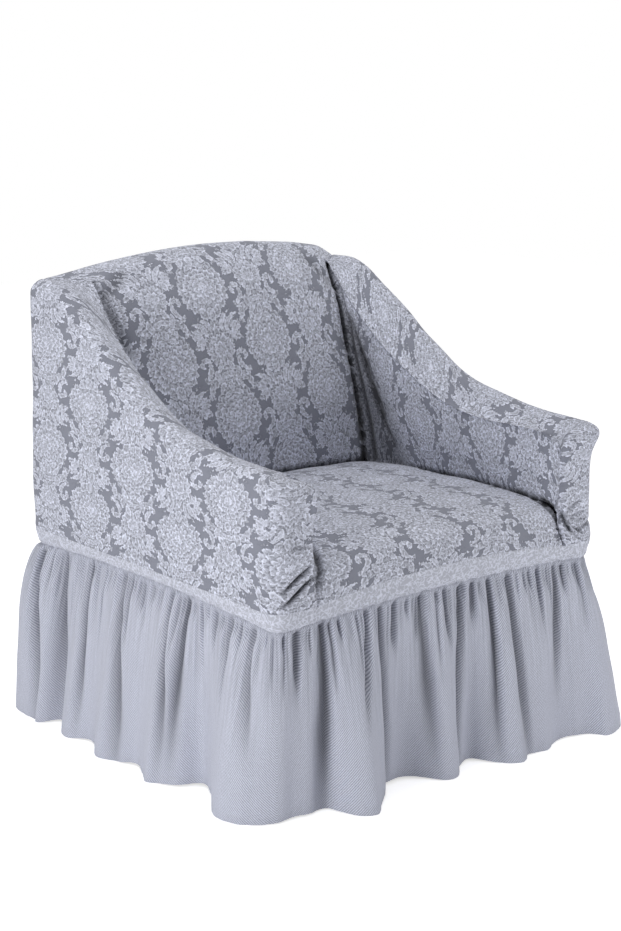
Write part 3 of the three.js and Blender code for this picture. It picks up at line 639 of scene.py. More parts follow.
# columns of each panel's grid and its rows, in parts where the surface turns over an edge
grids = dict(outer_arm=(246, (82, 28, 12)), inner_arm=(226, 82), inside_back=(166, (110, 38)),
             outside_back=(160, (112, 14)), seat_panel=(166, 172), waistband=(900, 12), skirt=(1700, 28))
closerAtNose = .4  # how much closer the outer arm's columns lie at its front
mirror = dict(left=np.array((1, 1, 1)), right=np.array((-1, 1, 1)))
# the damask on each panel: repeat in metres, where the middle of one medallion lies, turn in degrees
damaskLay = dict(
    outer_arm=dict(repeat=(.291, .200), at=(.686, .172), turn=0, upright=-1),
    inner_arm=dict(repeat=(.208, .230), at=(.245, .100), turn=0, upright=-1),
    inside_back=dict(repeat=(.250, .270), at=(.077, .290), turn=7.5, upright=1),
    outside_back=dict(repeat=(.250, .270), at=(0, .290), turn=0, upright=1),
    seat_panel=dict(repeat=(.270, .206), at=(-.010, .355), turn=0, upright=-1))


def onDamask(flat, lay):  # metres on the cloth to repeats of the pattern
    turn = np.radians(lay["turn"])
    x, y = flat[..., 0] - lay["at"][0], flat[..., 1] - lay["at"][1]
    across = (x * np.cos(turn) + y * np.sin(turn)) / lay["repeat"][0]
    up = (y * np.cos(turn) - x * np.sin(turn)) / lay["repeat"][1]
    return np.stack([across, up * lay["upright"]], -1)


def gridOf(u, v):  # every u with every v
    return np.meshgrid(u, v, indexing="ij")


def outerArmPanel(side):  # made on the left, mirrored for the right
    columns, rows = grids["outer_arm"]
    along = rowsWithEdges(columns)
    along = along + closerAtNose * np.sin(np.pi * along) / np.pi
    d, v = gridOf(along * (insideStart + edgeRun), rowsOver(*rows))
    return panelSurface("outer_arm_" + side, outerArm(d, v) * mirror[side], d, mirror[side] * (-1, 0, .3))


def innerArmPanel(side):  # the same; across is the run along its middle row
    columns, rows = grids["inner_arm"]
    d = cornerRun + rowsWithEdges(columns) * (insideStart + edgeRun - cornerRun)
    d, t = gridOf(d, rowsWithEdges(rows))
    p = innerArm(d, t)
    across = runAlong(p, 0)[:, rows // 2, None]
    return panelSurface("inner_arm_" + side, p * mirror[side], across, mirror[side] * (1, 0, 0))


def insideBackPanel():
    columns, rows = grids["inside_back"]
    a, s = gridOf(rowsWithEdges(columns) * 2 - 1, rowsOver(*rows))
    return panelSurface("inside_back", insideBack(a, s), a * backShape["creaseFoot"][0], (0, -1, .5))


def outsideBackPanel():
    columns, rows = grids["outside_back"]
    a, v = gridOf(rowsWithEdges(columns) * 2 - 1, rowsOver(*rows))
    return panelSurface("outside_back", outsideBack(a, v), a * flatHalf, (0, 1, .1))


def seatPanel():
    columns, rows = grids["seat_panel"]
    a, along = gridOf(rowsWithEdges(columns) * 2 - 1, rowsWithEdges(rows))
    return panelSurface("seat_panel", seat(a, along), a * cover["armInside"], (0, -.3, 1))


def awayFromWaist(q):  # level, straight out from the waist
    return np.concatenate((ring(q)[1], 0 * q[..., None]), -1)


def waistbandPanel():
    columns, rows = grids["waistband"]
    q, t = gridOf(np.arange(columns) / columns * ringRun, rowsWithEdges(rows, near=(0, .04, .10)))
    return panelSurface("waistband", band(q, t), q, awayFromWaist(q), closed=True)


# the gathers that run on as folds: mm from the back left corner along the waistband and at the foot,
# share of the skirt's height, depth and half-width in mm
longFolds = dict(
    at=[65, 138, 193, 236, 262, 300, 348, 374, 412, 440, 473, 502, 548, 590, 630, 677, 708, 742, 820, 852,
        910, 923, 941, 1006, 1041, 1074, 1104, 1141, 1176, 1198, 1242, 1272, 1311, 1362, 1418, 1445, 1493,
        1511, 1548],
    foot=[100, 160, 196, 242, 272, 308, 390, 398, 422, 438, 476, 528, 546, 586, 644, 670, 728, 772, 808,
          840, 900, 921, 927, 960, 1058, 1072, 1104, 1150, 1180, 1210, 1226, 1266, 1298, 1369, 1412, 1420,
          1470, 1498, 1543],
    share=[1.2, 1.2, .15, 1, .2, .16, 1.2, .4, .2, .14, .14, 1, 1, .24, .25, .5, .16, .7, .12, .4,
           1.2, .4, .14, .6, 1.2, .3, .12, 1, .1, .35, 1.2, .25, 1.1, 1.2, .14, .2, .8, .2, .2],
    depth=[15, 16, 5, 9, 5, 5, 10, 8, 8, 5, 5, 9, 10, 6, 7, 10, 6, 7, 5, 8,
           13, 6, 6, 9, 8, 7, 5, 8, 5, 8, 9, 7, 11, 8, 6, 7, 7, 7, 6],
    width=[9, 9, 5, 7, 5, 5, 10, 6, 5, 5, 5, 8, 8, 5, 5, 6, 5, 10, 5, 6,
           8, 5, 5, 6, 8, 5, 5, 9, 5, 6, 8, 5, 7, 9, 5, 5, 8, 5, 5])
gathers = dict(
    deeper=1.9, narrower=.78, shadeFullAt=.016, shownRun=1.575, drift=.010, seed=23,
    hiddenPitch=.034, hiddenUneven=.3, hiddenDepth=.013, longPart=.3, longWidth=.008, shortWidth=.0055,
    pitch=.0098, uneven=.6, depth=.0064, width=.0028, share=.2, leastShare=.5, moreShare=2.2, sharePower=2.5,
    lean=1.5, ramp=.03, drifted=1.1, widening=.9, roundness=1.6, fadeFrom=.45, fadeRun=.65)
# ranges of the random factors
spread = dict(longShare=(.6, 1.2), shortShare=(.12, .4), hiddenDepth=(.6, 1.5), width=(.8, 1.3),
              depth=(.3, 1.4))


def gatherRows():  # the folds above, small gathers between them, and random ones round the two hidden sides
    g = gathers
    rng = np.random.default_rng(g["seed"])
    table = {key: np.array(values, float) for key, values in longFolds.items()}
    main = dict(at=flatHalf + table["at"] * millimetre,
                foot=flatHalf + table["foot"] * millimetre,
                share=table["share"],
                depth=table["depth"] * g["deeper"] * millimetre,
                width=table["width"] * g["narrower"] * millimetre)
    count = int((ringRun - g["shownRun"]) / g["hiddenPitch"])
    uneven = rng.uniform(-g["hiddenUneven"], g["hiddenUneven"], count)
    at = flatHalf + g["shownRun"] + (np.arange(count) + .5 + uneven) * g["hiddenPitch"]
    long = rng.random(count) < g["longPart"]
    hiddenWidth = np.where(long, g["longWidth"], g["shortWidth"])
    hidden = dict(at=at, foot=at + rng.normal(0, g["drift"], count),
                  share=np.where(long, rng.uniform(*spread["longShare"], count),
                                 rng.uniform(*spread["shortShare"], count)),
                  depth=g["hiddenDepth"] * rng.uniform(*spread["hiddenDepth"], count),
                  width=hiddenWidth * rng.uniform(*spread["width"], count))
    count = int(ringRun / g["pitch"])
    at = (np.arange(count) + g["uneven"] * rng.uniform(-1, 1, count)) * g["pitch"]
    small = dict(at=at, foot=at + rng.normal(0, g["drift"], count),
                 share=g["share"] * (g["leastShare"] + g["moreShare"] * rng.random(count) ** g["sharePower"]),
                 depth=g["depth"] * rng.uniform(*spread["depth"], count),
                 width=g["width"] * rng.uniform(*spread["width"], count))
    return {key: np.concatenate((main[key], hidden[key], small[key])) for key in main}


def gatherDepth(q, down):
    # every gather is a groove with a soft left and a steep right side, which drifts and fades on its way
    # down; deeper ones also get painted shade
    g = gathers
    total, shade = np.zeros(q.shape), np.zeros(q.shape)
    for at, foot, share, depth, width in zip(*gatherRows().values()):
        centre = lerp(at, foot, smooth(down * g["drifted"]))
        away = (q - centre + ringHalf) % ringRun - ringHalf
        wide = width * (1 + g["widening"] * down) * np.where(away < 0, g["lean"], 1 / g["lean"])
        gone = smooth((down - g["fadeFrom"] * share) / (g["fadeRun"] * share))
        groove = smooth(down / g["ramp"]) * (1 - gone) * np.exp(-np.abs(away / wide) ** g["roundness"])
        total += depth * groove
        # painted shade in the deeper gathers
        shade = np.maximum(shade, groove * clip01(depth / g["shadeFullAt"]))
    return total, shade


def skirtPanel():  # the main folds, then gathers and a slight wave in the hem laid over them
    columns, rows = grids["skirt"]
    s = skirtShape
    step = np.linspace(0, 1, rows)
    q, down = gridOf(np.arange(columns) / columns * ringRun, lerp(step, step ** 2, s["closerAtTop"]))
    p = skirt(q, down)
    away = awayFromWaist(q)
    flip = -1 if np.mean((normals(p, True) * away).sum(-1)) < 0 else 1
    plan = p * (1, 1, 0)
    wave = waves(plan, s["hemWave"], s["waveLength"], s["waveSeed"], s["waveCount"]) * down ** s["wavePower"]
    deep, shade = gatherDepth(q, down)
    p = p + flip * normals(p, True) * (wave - deep)[..., None] * (1, 1, s["rising"])
    p[..., 2] = np.maximum(p[..., 2], s["leastHeight"])
    # the ribs change direction at each corner: the run round the hem is counted back and forth
    h = np.where(q[:, 0] <= ringHalf, q[:, 0], ringRun - q[:, 0]) - flatHalf
    onSide = (h > cornerRun / 2) & (h < frontCorner + cornerRun / 2)
    foot = np.concatenate((p, p[:1]))[:, -1]
    step = np.linalg.norm(np.diff(foot, axis=0), axis=-1) * np.where(onSide, -1, 1)
    ribRun = np.concatenate(([0], np.cumsum(step)))
    panel = panelSurface("skirt", p, ribRun[:-1, None], away, down * s["height"], closed=True)
    panel["turn"] = ribRun[-1]
    # the gathers' painted shade, for the cloth's colour
    panel["shade"] = shade[::-1] if panel["reversed"] else shade
    return panel


def buildCloth():  # all panels, moved to where the frame has the waistband, and sewn to each other
    panels = [outerArmPanel("left"), outerArmPanel("right"), innerArmPanel("left"), innerArmPanel("right"),
              insideBackPanel(), outsideBackPanel(), seatPanel(), waistbandPanel(), skirtPanel()]
    bandPanel = next(panel for panel in panels if panel["name"] == "waistband")
    corners = bandPanel["p"].reshape(-1, 3)
    low, high = (np.array(corner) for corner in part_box("waistband"))
    place = (low + high) / 2 - (corners.min(0) + corners.max(0)) / 2
    place[2] = low[2] - corners[:, 2].min()
    lowest = (-np.inf, -np.inf, clothShape["leastHeight"])
    matchSeams(panels)
    print("seams matched")
    pieces = {}
    for panel in panels:
        name = panel["name"]
        outer, inner, shade = sewn(panel, clothShape["thickness"])
        lay = damaskLay.get(kind(name))
        uv = onDamask(panel["flat"], lay) if lay else panel["flat"]
        turn = panel.get("turn", ringRun) * (-1 if panel["reversed"] else 1)
        outer, inner = (np.maximum(face + place, lowest) for face in (outer, inner))
        pieces[name] = sheetMesh(name + "_cloth", outer, inner, uv, shade, panel["closed"], turn)
        print(name, "sewn:", len(pieces[name].data.polygons), "faces")
    return pieces, place


pieces, place = buildCloth()


def newGroup(name, inputs, outputs):  # float sockets; an input without a value is a vector
    tree = bpy.data.node_groups.new(name, "ShaderNodeTree")
    for socketName, value in inputs.items():
        form = "NodeSocketVector" if value is None else "NodeSocketFloat"
        socket = tree.interface.new_socket(name=socketName, in_out="INPUT", socket_type=form)
        if value is not None:
            socket.default_value = value
    for socketName in outputs:
        tree.interface.new_socket(name=socketName, in_out="OUTPUT", socket_type="NodeSocketFloat")
    return tree, tree.nodes.new("NodeGroupInput").outputs, tree.nodes.new("NodeGroupOutput").inputs


def feed(tree, socket, value):  # a link from another node's socket, or a plain value
    if isinstance(value, bpy.types.NodeSocket):
        tree.links.new(value, socket)
    else:
        socket.default_value = value


def addNode(tree, form, inputs, **settings):  # settings first, since some of them change the sockets
    node = tree.nodes.new("ShaderNode" + form)
    for key, value in settings.items():
        setattr(node, key, value)
    for key, value in inputs.items():
        feed(tree, node.inputs[key], value)
    return node.outputs


def maths(tree, operation, *values):
    return addNode(tree, "Math", dict(enumerate(values)), operation=operation)[0]


def plus(tree, a, b):
    return maths(tree, "ADD", a, b)


def minus(tree, a, b):
    return maths(tree, "SUBTRACT", a, b)


def times(tree, a, b):
    return maths(tree, "MULTIPLY", a, b)


def timesPlus(tree, a, b, c):
    return maths(tree, "MULTIPLY_ADD", a, b, c)


def fromLeast(tree, value, least):  # the least where the value is 0, 1 where it is 1
    return timesPlus(tree, value, 1 - least, least)


def lessBy(tree, value, share):  # 1 where the value is 0, less by the share where it is 1
    return timesPlus(tree, value, -share, 1.)


def aboutOne(tree, value, share):  # a noise from 0 to 1 made to vary about 1 by the share
    return timesPlus(tree, value, share, 1 - share / 2)


def stepUp(tree, value, start, end):  # 0 below start, 1 above end, smooth between
    inputs = {"Value": value, "From Min": start, "From Max": end}
    return addNode(tree, "MapRange", inputs, interpolation_type="SMOOTHSTEP")["Result"]


def useGroup(tree, group, **values):
    return addNode(tree, "Group", values, node_tree=group)


def curveThrough(tree, value, table, low, high):  # straight lines through a table; low..high becomes 0..1
    node = tree.nodes.new("ShaderNodeFloatCurve")
    curve = node.mapping.curves[0]
    rows = sorted(zip(table["at"], table["value"]))
    while len(curve.points) < len(rows):
        curve.points.new(.5, .5)
    for point, (x, y) in zip(curve.points, rows):
        point.location = ((x - low) / (high - low), y)
        point.handle_type = "VECTOR"
    node.mapping.update()
    feed(tree, node.inputs["Value"], maths(tree, "DIVIDE", minus(tree, value, low), high - low))
    return node.outputs[0]


def noise(tree, vector, scale, detail, distortion=0.):
    inputs = {"Vector": vector, "Scale": scale, "Detail": detail, "Distortion": distortion}
    return addNode(tree, "TexNoise", inputs)


def mixColours(tree, factor, a, b, blend="MIX"):
    return addNode(tree, "Mix", {0: factor, 6: a, 7: b}, data_type="RGBA", blend_type=blend)[2]


def shaded(tree, colour, amount):  # colour times a value that varies over the surface
    grey = addNode(tree, "CombineColor", dict.fromkeys(range(3), amount))[0]
    return mixColours(tree, 1., colour, grey, "MULTIPLY")


# the damask: one repeat charted in mm from the middle of a medallion, x to the side and y up
chart = dict(width=250, height=270, lobes=.05, lobeHeight=13)
# half-width of the figure's ground up a column, as a share of a quarter of the repeat's width
fieldWidth = dict(
    at=[-135, -122, -110, -100, -88, -72, -66, -58, -48, -36, -20, 0, 18, 32, 42, 50, 58, 66, 76, 86, 96,
        104, 112, 120, 135],
    value=[.50, .56, .50, .42, .30, .12, .14, .26, .45, .66, .82, .90, .86, .78, .66, .58, .50, .46, .50,
           .46, .36, .28, .32, .42, .50])
# leaves and rings of petals, each drawn over the ones before it
layers = dict(
    sideLeaf=dict(x=57, y=46, angle=24, length=11, width=5, bend=-.01),
    wingTip=dict(x=52, y=-96, angle=20, length=15, width=6.5, bend=-.01),
    lowWing=dict(x=50, y=-118, angle=-25, length=14, width=6.5, bend=.012),
    wing=dict(x=34, y=-101, count=11, radius=16, length=13, width=6.2, turn=0),
    innerWing=dict(x=25, y=-112, angle=70, length=16, width=7),
    lyreOuter=dict(x=33, y=-84, angle=50, length=28, width=6.5, bend=-.016),
    lyreInner=dict(x=19, y=-79, angle=58, length=26, width=6, bend=-.014),
    stem=dict(y=-100, angle=90, length=17, width=8),
    shoulderLeaf=dict(x=42, y=-201, angle=-38, length=28, width=10.5, bend=-.014),
    shoulderTip=dict(x=55, y=-190, angle=30, length=13, width=6.5, bend=-.014),
    lowNeck=dict(x=10, y=-203, angle=15, length=20, width=7, bend=.01),
    neck=dict(x=9, y=-188, angle=-15, length=19, width=7, bend=-.01),
    neckSide=dict(x=27, y=-190, angle=70, length=16, width=8, bend=.01),
    flower=dict(y=-138, count=13, radius=23, length=13, width=8, turn=90),
    flowerHeart=dict(y=-135, count=7, radius=8, length=10, width=7, turn=90),
    underFlower=dict(x=13, y=-170, angle=-60, length=14, width=7, bend=.012),
    hookStem=dict(x=40, y=-174, angle=114, length=26, width=6.5, bend=-.020),
    hookCurl=dict(x=47, y=-149, angle=0, length=16, width=7, bend=-.03),
    hookTip=dict(x=57, y=-158, angle=80, length=10, width=6, bend=.02),
    medallionOuter=dict(y=-8, count=21, radius=48, length=13, width=9, turn=90),
    medallionSecond=dict(y=-8, count=19, radius=37, length=12, width=7.5, turn=90),
    bottomSide=dict(x=17, y=-58, angle=60, length=15, width=10),
    bottomTip=dict(y=-62, angle=90, length=16, width=11),
    medallionMiddle=dict(y=-6, count=15, radius=25, length=11, width=6.5, turn=90),
    medallionInner=dict(y=-5, count=11, radius=15, length=9, width=5.5, turn=90),
    medallionHeart=dict(y=-4, count=7, radius=6, length=6, width=4, turn=90),
    crown=dict(x=12, y=44, angle=-20, length=16, width=6.5, bend=-.008),
    crownSide=dict(x=24, y=58, angle=130, length=15, width=7, bend=.012),
    bud=dict(y=58, angle=90, length=12, width=9))
gaps = dict(
    dot=dict(x=38, y=56, angle=90, length=6.5, width=6.5),
    petalGap=dict(x=30, y=-62, angle=-58, length=9, width=3, bend=.01))
# the layers that stand out enough to feel
raised = ("wing", "lyreOuter", "lyreInner", "shoulderLeaf", "neck", "flower", "hookStem", "hookCurl",
          "medallionOuter", "medallionMiddle", "bottomTip", "crown")
# in mm inwards from the edge of a leaf: its edge, its outline, the groove and the halo of painted shadow
# round it;
# its rib as shares of the way to its middle; and how bright the rib and the ground between leaves are
leafEdge = dict(
    soft=.4, outlineAt=1.6, outlineCore=.4, outlineWidth=2.2, grooveFrom=-2.6, grooveTo=-1.2, halo=3.5,
    ribFrom=.62, ribTo=.90, ribTone=.4, fieldTone=.25)
below = ("Depth", "Line", "Groove")


def outlineOf(tree, depth):
    away = maths(tree, "ABSOLUTE", minus(tree, depth, leafEdge["outlineAt"]))
    return minus(tree, 1., stepUp(tree, away, leafEdge["outlineCore"], leafEdge["outlineWidth"]))


def petalGroup():
    # an oval laid over what is below: 1 - sqrt(along² + across²), times its half width, is its depth in mm
    inputs = {"Along": 0., "Across": 0., "Half Length": 10., "Half Width": 5., "Ragged": 0.}
    tree, given, result = newGroup("petal", {**inputs, **dict.fromkeys(below, 0.)}, below)
    along = maths(tree, "DIVIDE", given["Along"], given["Half Length"])
    across = maths(tree, "DIVIDE", given["Across"], given["Half Width"])
    square = timesPlus(tree, along, along, times(tree, across, across))
    share = minus(tree, 1., maths(tree, "SQRT", square))
    depth = timesPlus(tree, share, given["Half Width"], given["Ragged"])
    inside = stepUp(tree, depth, -leafEdge["soft"], leafEdge["soft"])
    groove = stepUp(tree, depth, leafEdge["grooveFrom"], leafEdge["grooveTo"])
    groove = times(tree, maths(tree, "MAXIMUM", groove, given["Groove"]), minus(tree, 1., inside))
    rib = times(tree, stepUp(tree, share, leafEdge["ribFrom"], leafEdge["ribTo"]), leafEdge["ribTone"])
    line = minus(tree, maths(tree, "MAXIMUM", outlineOf(tree, depth), rib), given["Line"])
    feed(tree, result["Depth"], maths(tree, "MAXIMUM", depth, given["Depth"]))
    feed(tree, result["Line"], timesPlus(tree, line, inside, given["Line"]))
    feed(tree, result["Groove"], groove)
    return tree


def awayFrom(tree, given):  # mm from a leaf's or ring's middle; upwards the pattern repeats
    half = chart["height"] / 2
    x = minus(tree, given["X"], given["Centre X"])
    return x, maths(tree, "WRAP", minus(tree, given["Y"], given["Centre Y"]), half, -half)


def layerGroup(name, extra, alongAndAcross):  # a petal laid along and across its own lines
    inputs = {"X": 0., "Y": 0., "Centre X": 0., "Centre Y": 0., "Half Length": 10., "Half Width": 5.,
              "Ragged": 0., **extra, **dict.fromkeys(below, 0.)}
    tree, given, result = newGroup(name, inputs, below)
    along, across = alongAndAcross(tree, given, *awayFrom(tree, given))
    kept = {key: given[key] for key in ("Half Length", "Half Width", "Ragged") + below}
    laid = useGroup(tree, petal, Along=along, Across=across, **kept)
    for output in below:
        feed(tree, result[output], laid[output])
    return tree


def leafWay(tree, given, x, y):  # turned to the leaf's length, its rib bent into a parabola
    along = timesPlus(tree, x, given["Cosine"], times(tree, y, given["Sine"]))
    across = minus(tree, times(tree, y, given["Cosine"]), times(tree, x, given["Sine"]))
    bent = times(tree, times(tree, along, along), given["Bend"])
    return along, minus(tree, across, bent)


def ringWay(tree, given, x, y):  # one petal repeated round a centre: the angle is wrapped to one petal
    away = maths(tree, "SQRT", timesPlus(tree, x, x, times(tree, y, y)))
    angle = minus(tree, maths(tree, "ARCTAN2", y, x), given["Turn"])
    halfPetal = times(tree, given["Petal Angle"], .5)
    angle = maths(tree, "WRAP", angle, halfPetal, times(tree, halfPetal, -1.))
    along = minus(tree, times(tree, away, maths(tree, "COSINE", angle)), given["Radius"])
    return along, times(tree, away, maths(tree, "SINE", angle))


petal = petalGroup()
leafShape = layerGroup("leaf", {"Cosine": 1., "Sine": 0., "Bend": 0.}, leafWay)
ringShape = layerGroup("petalRing", {"Petal Angle": 1., "Radius": 20., "Turn": 0.}, ringWay)


def layRow(tree, row, laid, **place):  # one row of the chart over what is laid below
    values = {"Centre X": row.get("x", 0.), "Centre Y": row["y"], "Half Length": row["length"],
              "Half Width": row["width"], **place, **laid}
    if "count" in row:
        values.update({"Petal Angle": 2 * np.pi / row["count"], "Radius": row["radius"],
                       "Turn": np.radians(row["turn"])})
        return useGroup(tree, ringShape, **values)
    turn = np.radians(row["angle"])
    values.update(Cosine=np.cos(turn), Sine=np.sin(turn), Bend=row.get("bend", 0.))
    return useGroup(tree, leafShape, **values)


def damaskGroup(name, rows):
    # repeats fold into one half column: every other column is half a repeat higher, each is a mirror image
    outputs = ("Figure", "Line", "Groove", "Halo")
    tree, given, result = newGroup(name, {"Repeats": None, "Ragged": 0.}, outputs)
    place = addNode(tree, "SeparateXYZ", {0: given["Repeats"]})
    column = maths(tree, "ROUND", times(tree, place[0], 2.))
    x = maths(tree, "ABSOLUTE", timesPlus(tree, column, -.5, place[0]))
    odd = maths(tree, "FLOORED_MODULO", column, 2.)
    y = maths(tree, "WRAP", timesPlus(tree, odd, .5, place[1]), .5, -.5)
    x = times(tree, x, float(chart["width"]))
    y = times(tree, y, float(chart["height"]))
    half = chart["height"] / 2
    width = times(tree, curveThrough(tree, y, fieldWidth, -half, half), chart["width"] / 4)
    lobe = maths(tree, "SINE", times(tree, y, 2 * np.pi / chart["lobeHeight"]))
    width = times(tree, width, timesPlus(tree, lobe, chart["lobes"], 1.))
    depth = plus(tree, minus(tree, width, x), given["Ragged"])
    line = fromLeast(tree, outlineOf(tree, depth), leafEdge["fieldTone"])
    laid = {"Depth": depth, "Line": line, "Groove": 0.}
    for row in rows:
        laid = layRow(tree, layers[row], laid, X=x, Y=y, Ragged=given["Ragged"])
    hole = {"Depth": float(-chart["width"])}
    for row in gaps.values():
        hole = {"Depth": layRow(tree, row, hole, X=x, Y=y)["Depth"]}
    figure = stepUp(tree, laid["Depth"], -leafEdge["soft"], leafEdge["soft"])
    filled = minus(tree, 1., stepUp(tree, hole["Depth"], 0., 2 * leafEdge["soft"]))
    feed(tree, result["Figure"], times(tree, figure, filled))
    feed(tree, result["Line"], laid["Line"])
    feed(tree, result["Groove"], laid["Groove"])
    # the halo: where shadow is painted on the ground round the figure
    feed(tree, result["Halo"], stepUp(tree, laid["Depth"], -leafEdge["halo"], 0.))
    return tree


crinkleShape = dict(scale=150., distortion=.4, sharpness=3.6, grainScale=620.)


def crinkleGroup():
    # short worm-like ridges: the middle band of a noise, drawn up
    tree, given, result = newGroup("crinkle", {"Place": None}, ("Height", "Grain"))
    ridge = noise(tree, given["Place"], crinkleShape["scale"], 0., crinkleShape["distortion"])["Fac"]
    ridge = maths(tree, "ABSOLUTE", timesPlus(tree, ridge, 2., -1.))
    ridge = maths(tree, "MINIMUM", times(tree, ridge, crinkleShape["sharpness"]), 1.)
    feed(tree, result["Height"], minus(tree, 1., ridge))
    feed(tree, result["Grain"], noise(tree, given["Place"], crinkleShape["grainScale"], 2.)["Fac"])
    return tree


crinkle = crinkleGroup()
clothFinish = dict(roughness=.86, sheen=.18, sheenRoughness=.5, specular=.22)


def clothMaterial(name):  # matt with a little sheen; also gives the place in space and on the cloth
    material = bpy.data.materials.new(name)
    material.use_nodes = True
    tree = material.node_tree
    shader = tree.nodes["Principled BSDF"]
    shader.inputs["Roughness"].default_value = clothFinish["roughness"]
    shader.inputs["Sheen Weight"].default_value = clothFinish["sheen"]
    shader.inputs["Sheen Roughness"].default_value = clothFinish["sheenRoughness"]
    shader.inputs["Specular IOR Level"].default_value = clothFinish["specular"]
    place = addNode(tree, "TexCoord", {})["Object"]
    return material, tree, shader, place, addNode(tree, "UVMap", {}, uv_map="clothMap")["UV"]


def bumpInto(tree, shader, height, distance):  # distance in metres for a height of 1
    bump = addNode(tree, "Bump", {"Distance": distance, "Height": height})
    tree.links.new(bump["Normal"], shader.inputs["Normal"])


def paintedCreaseShade(tree, darkest):  # painted shade: darker where the cloth lies deep in a crease, seam or gather, in place of the shade there
    attribute = addNode(tree, "Attribute", {}, attribute_name="creaseShade")
    return lessBy(tree, attribute["Fac"], darkest)


def fineGathers(tree, across, scale):  # a noise drawn out down the cloth
    return noise(tree, addNode(tree, "Mapping", {"Vector": across, "Scale": scale})[0], 1., 1.)["Fac"]


damaskFinish = dict(
    figure=(.790, .818, .955, 1), ground=(.238, .249, .301, 1), lineShare=.46, wormShare=.74, leastTone=.40,
    grooveDark=.34, paintedHaloShadow=.12, paintedShadeStrength=.85, grain=.16, ragged=2.3, raggedMiddle=.48,
    wander=(.018, .018, 0), wanderScale=60., lineHeight=.45, wormHeight=.45, grooveHeight=-.4,
    figureHeight=.4, grainHeight=.12, bump=.0011)


def damaskMaterial():  # pale crinkled figure over a darker ground, its outline a little unsteady
    f = damaskFinish
    material, tree, shader, place, repeats = clothMaterial("damaskCloth")
    unsteady = {0: noise(tree, place, f["wanderScale"], 1.)["Color"], 1: f["wander"], 2: repeats}
    repeats = addNode(tree, "VectorMath", unsteady, operation="MULTIPLY_ADD")[0]
    worms = useGroup(tree, crinkle, Place=place)
    ragged = timesPlus(tree, worms["Height"], f["ragged"], -f["raggedMiddle"] * f["ragged"])
    figure = useGroup(tree, damaskGroup("damaskFigure", layers), Repeats=repeats, Ragged=ragged)
    relief = useGroup(tree, damaskGroup("damaskRelief", raised), Repeats=repeats, Ragged=ragged)
    woven = timesPlus(tree, worms["Height"], f["wormShare"], times(tree, figure["Line"], f["lineShare"]))
    tone = fromLeast(tree, maths(tree, "MINIMUM", woven, 1.), f["leastTone"])
    light = shaded(tree, f["figure"], times(tree, tone, lessBy(tree, figure["Groove"], f["grooveDark"])))
    # painted shadow on the ground round the edge of the figure, as if cast by its relief
    dark = shaded(tree, f["ground"], lessBy(tree, figure["Halo"], f["paintedHaloShadow"]))
    colour = mixColours(tree, figure["Figure"], dark, light)
    # the colour is darkened by painted shade in creases, seams and gathers
    tone = times(tree, aboutOne(tree, worms["Grain"], f["grain"]), paintedCreaseShade(tree, f["paintedShadeStrength"]))
    tree.links.new(shaded(tree, colour, tone), shader.inputs["Base Color"])
    height = timesPlus(tree, relief["Line"], f["lineHeight"], times(tree, worms["Height"], f["wormHeight"]))
    height = timesPlus(tree, relief["Groove"], f["grooveHeight"], height)
    height = times(tree, relief["Figure"], plus(tree, height, f["figureHeight"]))
    bumpInto(tree, shader, timesPlus(tree, worms["Grain"], f["grainHeight"], height), f["bump"])
    return material


waistbandFinish = dict(
    colour=(.715, .738, .850, 1), leastTone=.64, grain=.20, gathers=(260., 30., 1.), wormHeight=.35,
    gatherHeight=1.3, grainHeight=.3, bump=.0009)


def waistbandMaterial():  # plain crinkled cloth, gathered finely by its elastic
    f = waistbandFinish
    material, tree, shader, place, across = clothMaterial("waistbandCloth")
    worms = useGroup(tree, crinkle, Place=place)
    tone = fromLeast(tree, worms["Height"], f["leastTone"])
    tone = times(tree, tone, aboutOne(tree, worms["Grain"], f["grain"]))
    tree.links.new(shaded(tree, f["colour"], tone), shader.inputs["Base Color"])
    height = times(tree, fineGathers(tree, across, f["gathers"]), f["gatherHeight"])
    height = timesPlus(tree, worms["Height"], f["wormHeight"], height)
    bumpInto(tree, shader, timesPlus(tree, worms["Grain"], f["grainHeight"], height), f["bump"])
    return material


skirtFinish = dict(
    colour=(.672, .695, .802, 1), line=(.318, .333, .405, 1),
    ribs={"Scale": 128., "Distortion": 1.6, "Detail": 1., "Detail Scale": 2.},
    grain=.24, paintedShadeStrength=.58, gathers=(150., 7., 1.), gatherShadeShare=.65, gathersTo=.30,
    grainHeight=.25, ribHeight=.6, gatherHeight=6., bump=.0006)


def skirtMaterial():  # diagonal ribs, and fine gathers that fade on their way down
    f = skirtFinish
    material, tree, shader, place, across = clothMaterial("skirtCloth")
    ribs = addNode(tree, "TexWave", {"Vector": across, **f["ribs"]}, bands_direction="DIAGONAL")["Fac"]
    worms = useGroup(tree, crinkle, Place=place)
    colour = mixColours(tree, ribs, f["line"], f["colour"])
    # the colour is darkened by painted shade in gathers and seams
    tone = times(tree, aboutOne(tree, worms["Grain"], f["grain"]), paintedCreaseShade(tree, f["paintedShadeStrength"]))
    fine = fineGathers(tree, across, f["gathers"])
    down = addNode(tree, "SeparateXYZ", {0: across})[1]
    fade = minus(tree, 1., stepUp(tree, down, 0., f["gathersTo"]))
    # painted light and shade of the fine gathers: lighter on their ridges, darker between, fading on the way
    # down
    uneven = times(tree, minus(tree, fine, .5), fade)
    tone = times(tree, tone, timesPlus(tree, uneven, f["gatherShadeShare"], 1.))
    tree.links.new(shaded(tree, colour, tone), shader.inputs["Base Color"])
    height = timesPlus(tree, worms["Grain"], f["grainHeight"], times(tree, ribs, f["ribHeight"]))
    height = timesPlus(tree, times(tree, fine, fade), f["gatherHeight"], height)
    bumpInto(tree, shader, height, f["bump"])
    return material


damask, plain, gathered = damaskMaterial(), waistbandMaterial(), skirtMaterial()
print("materials ready")

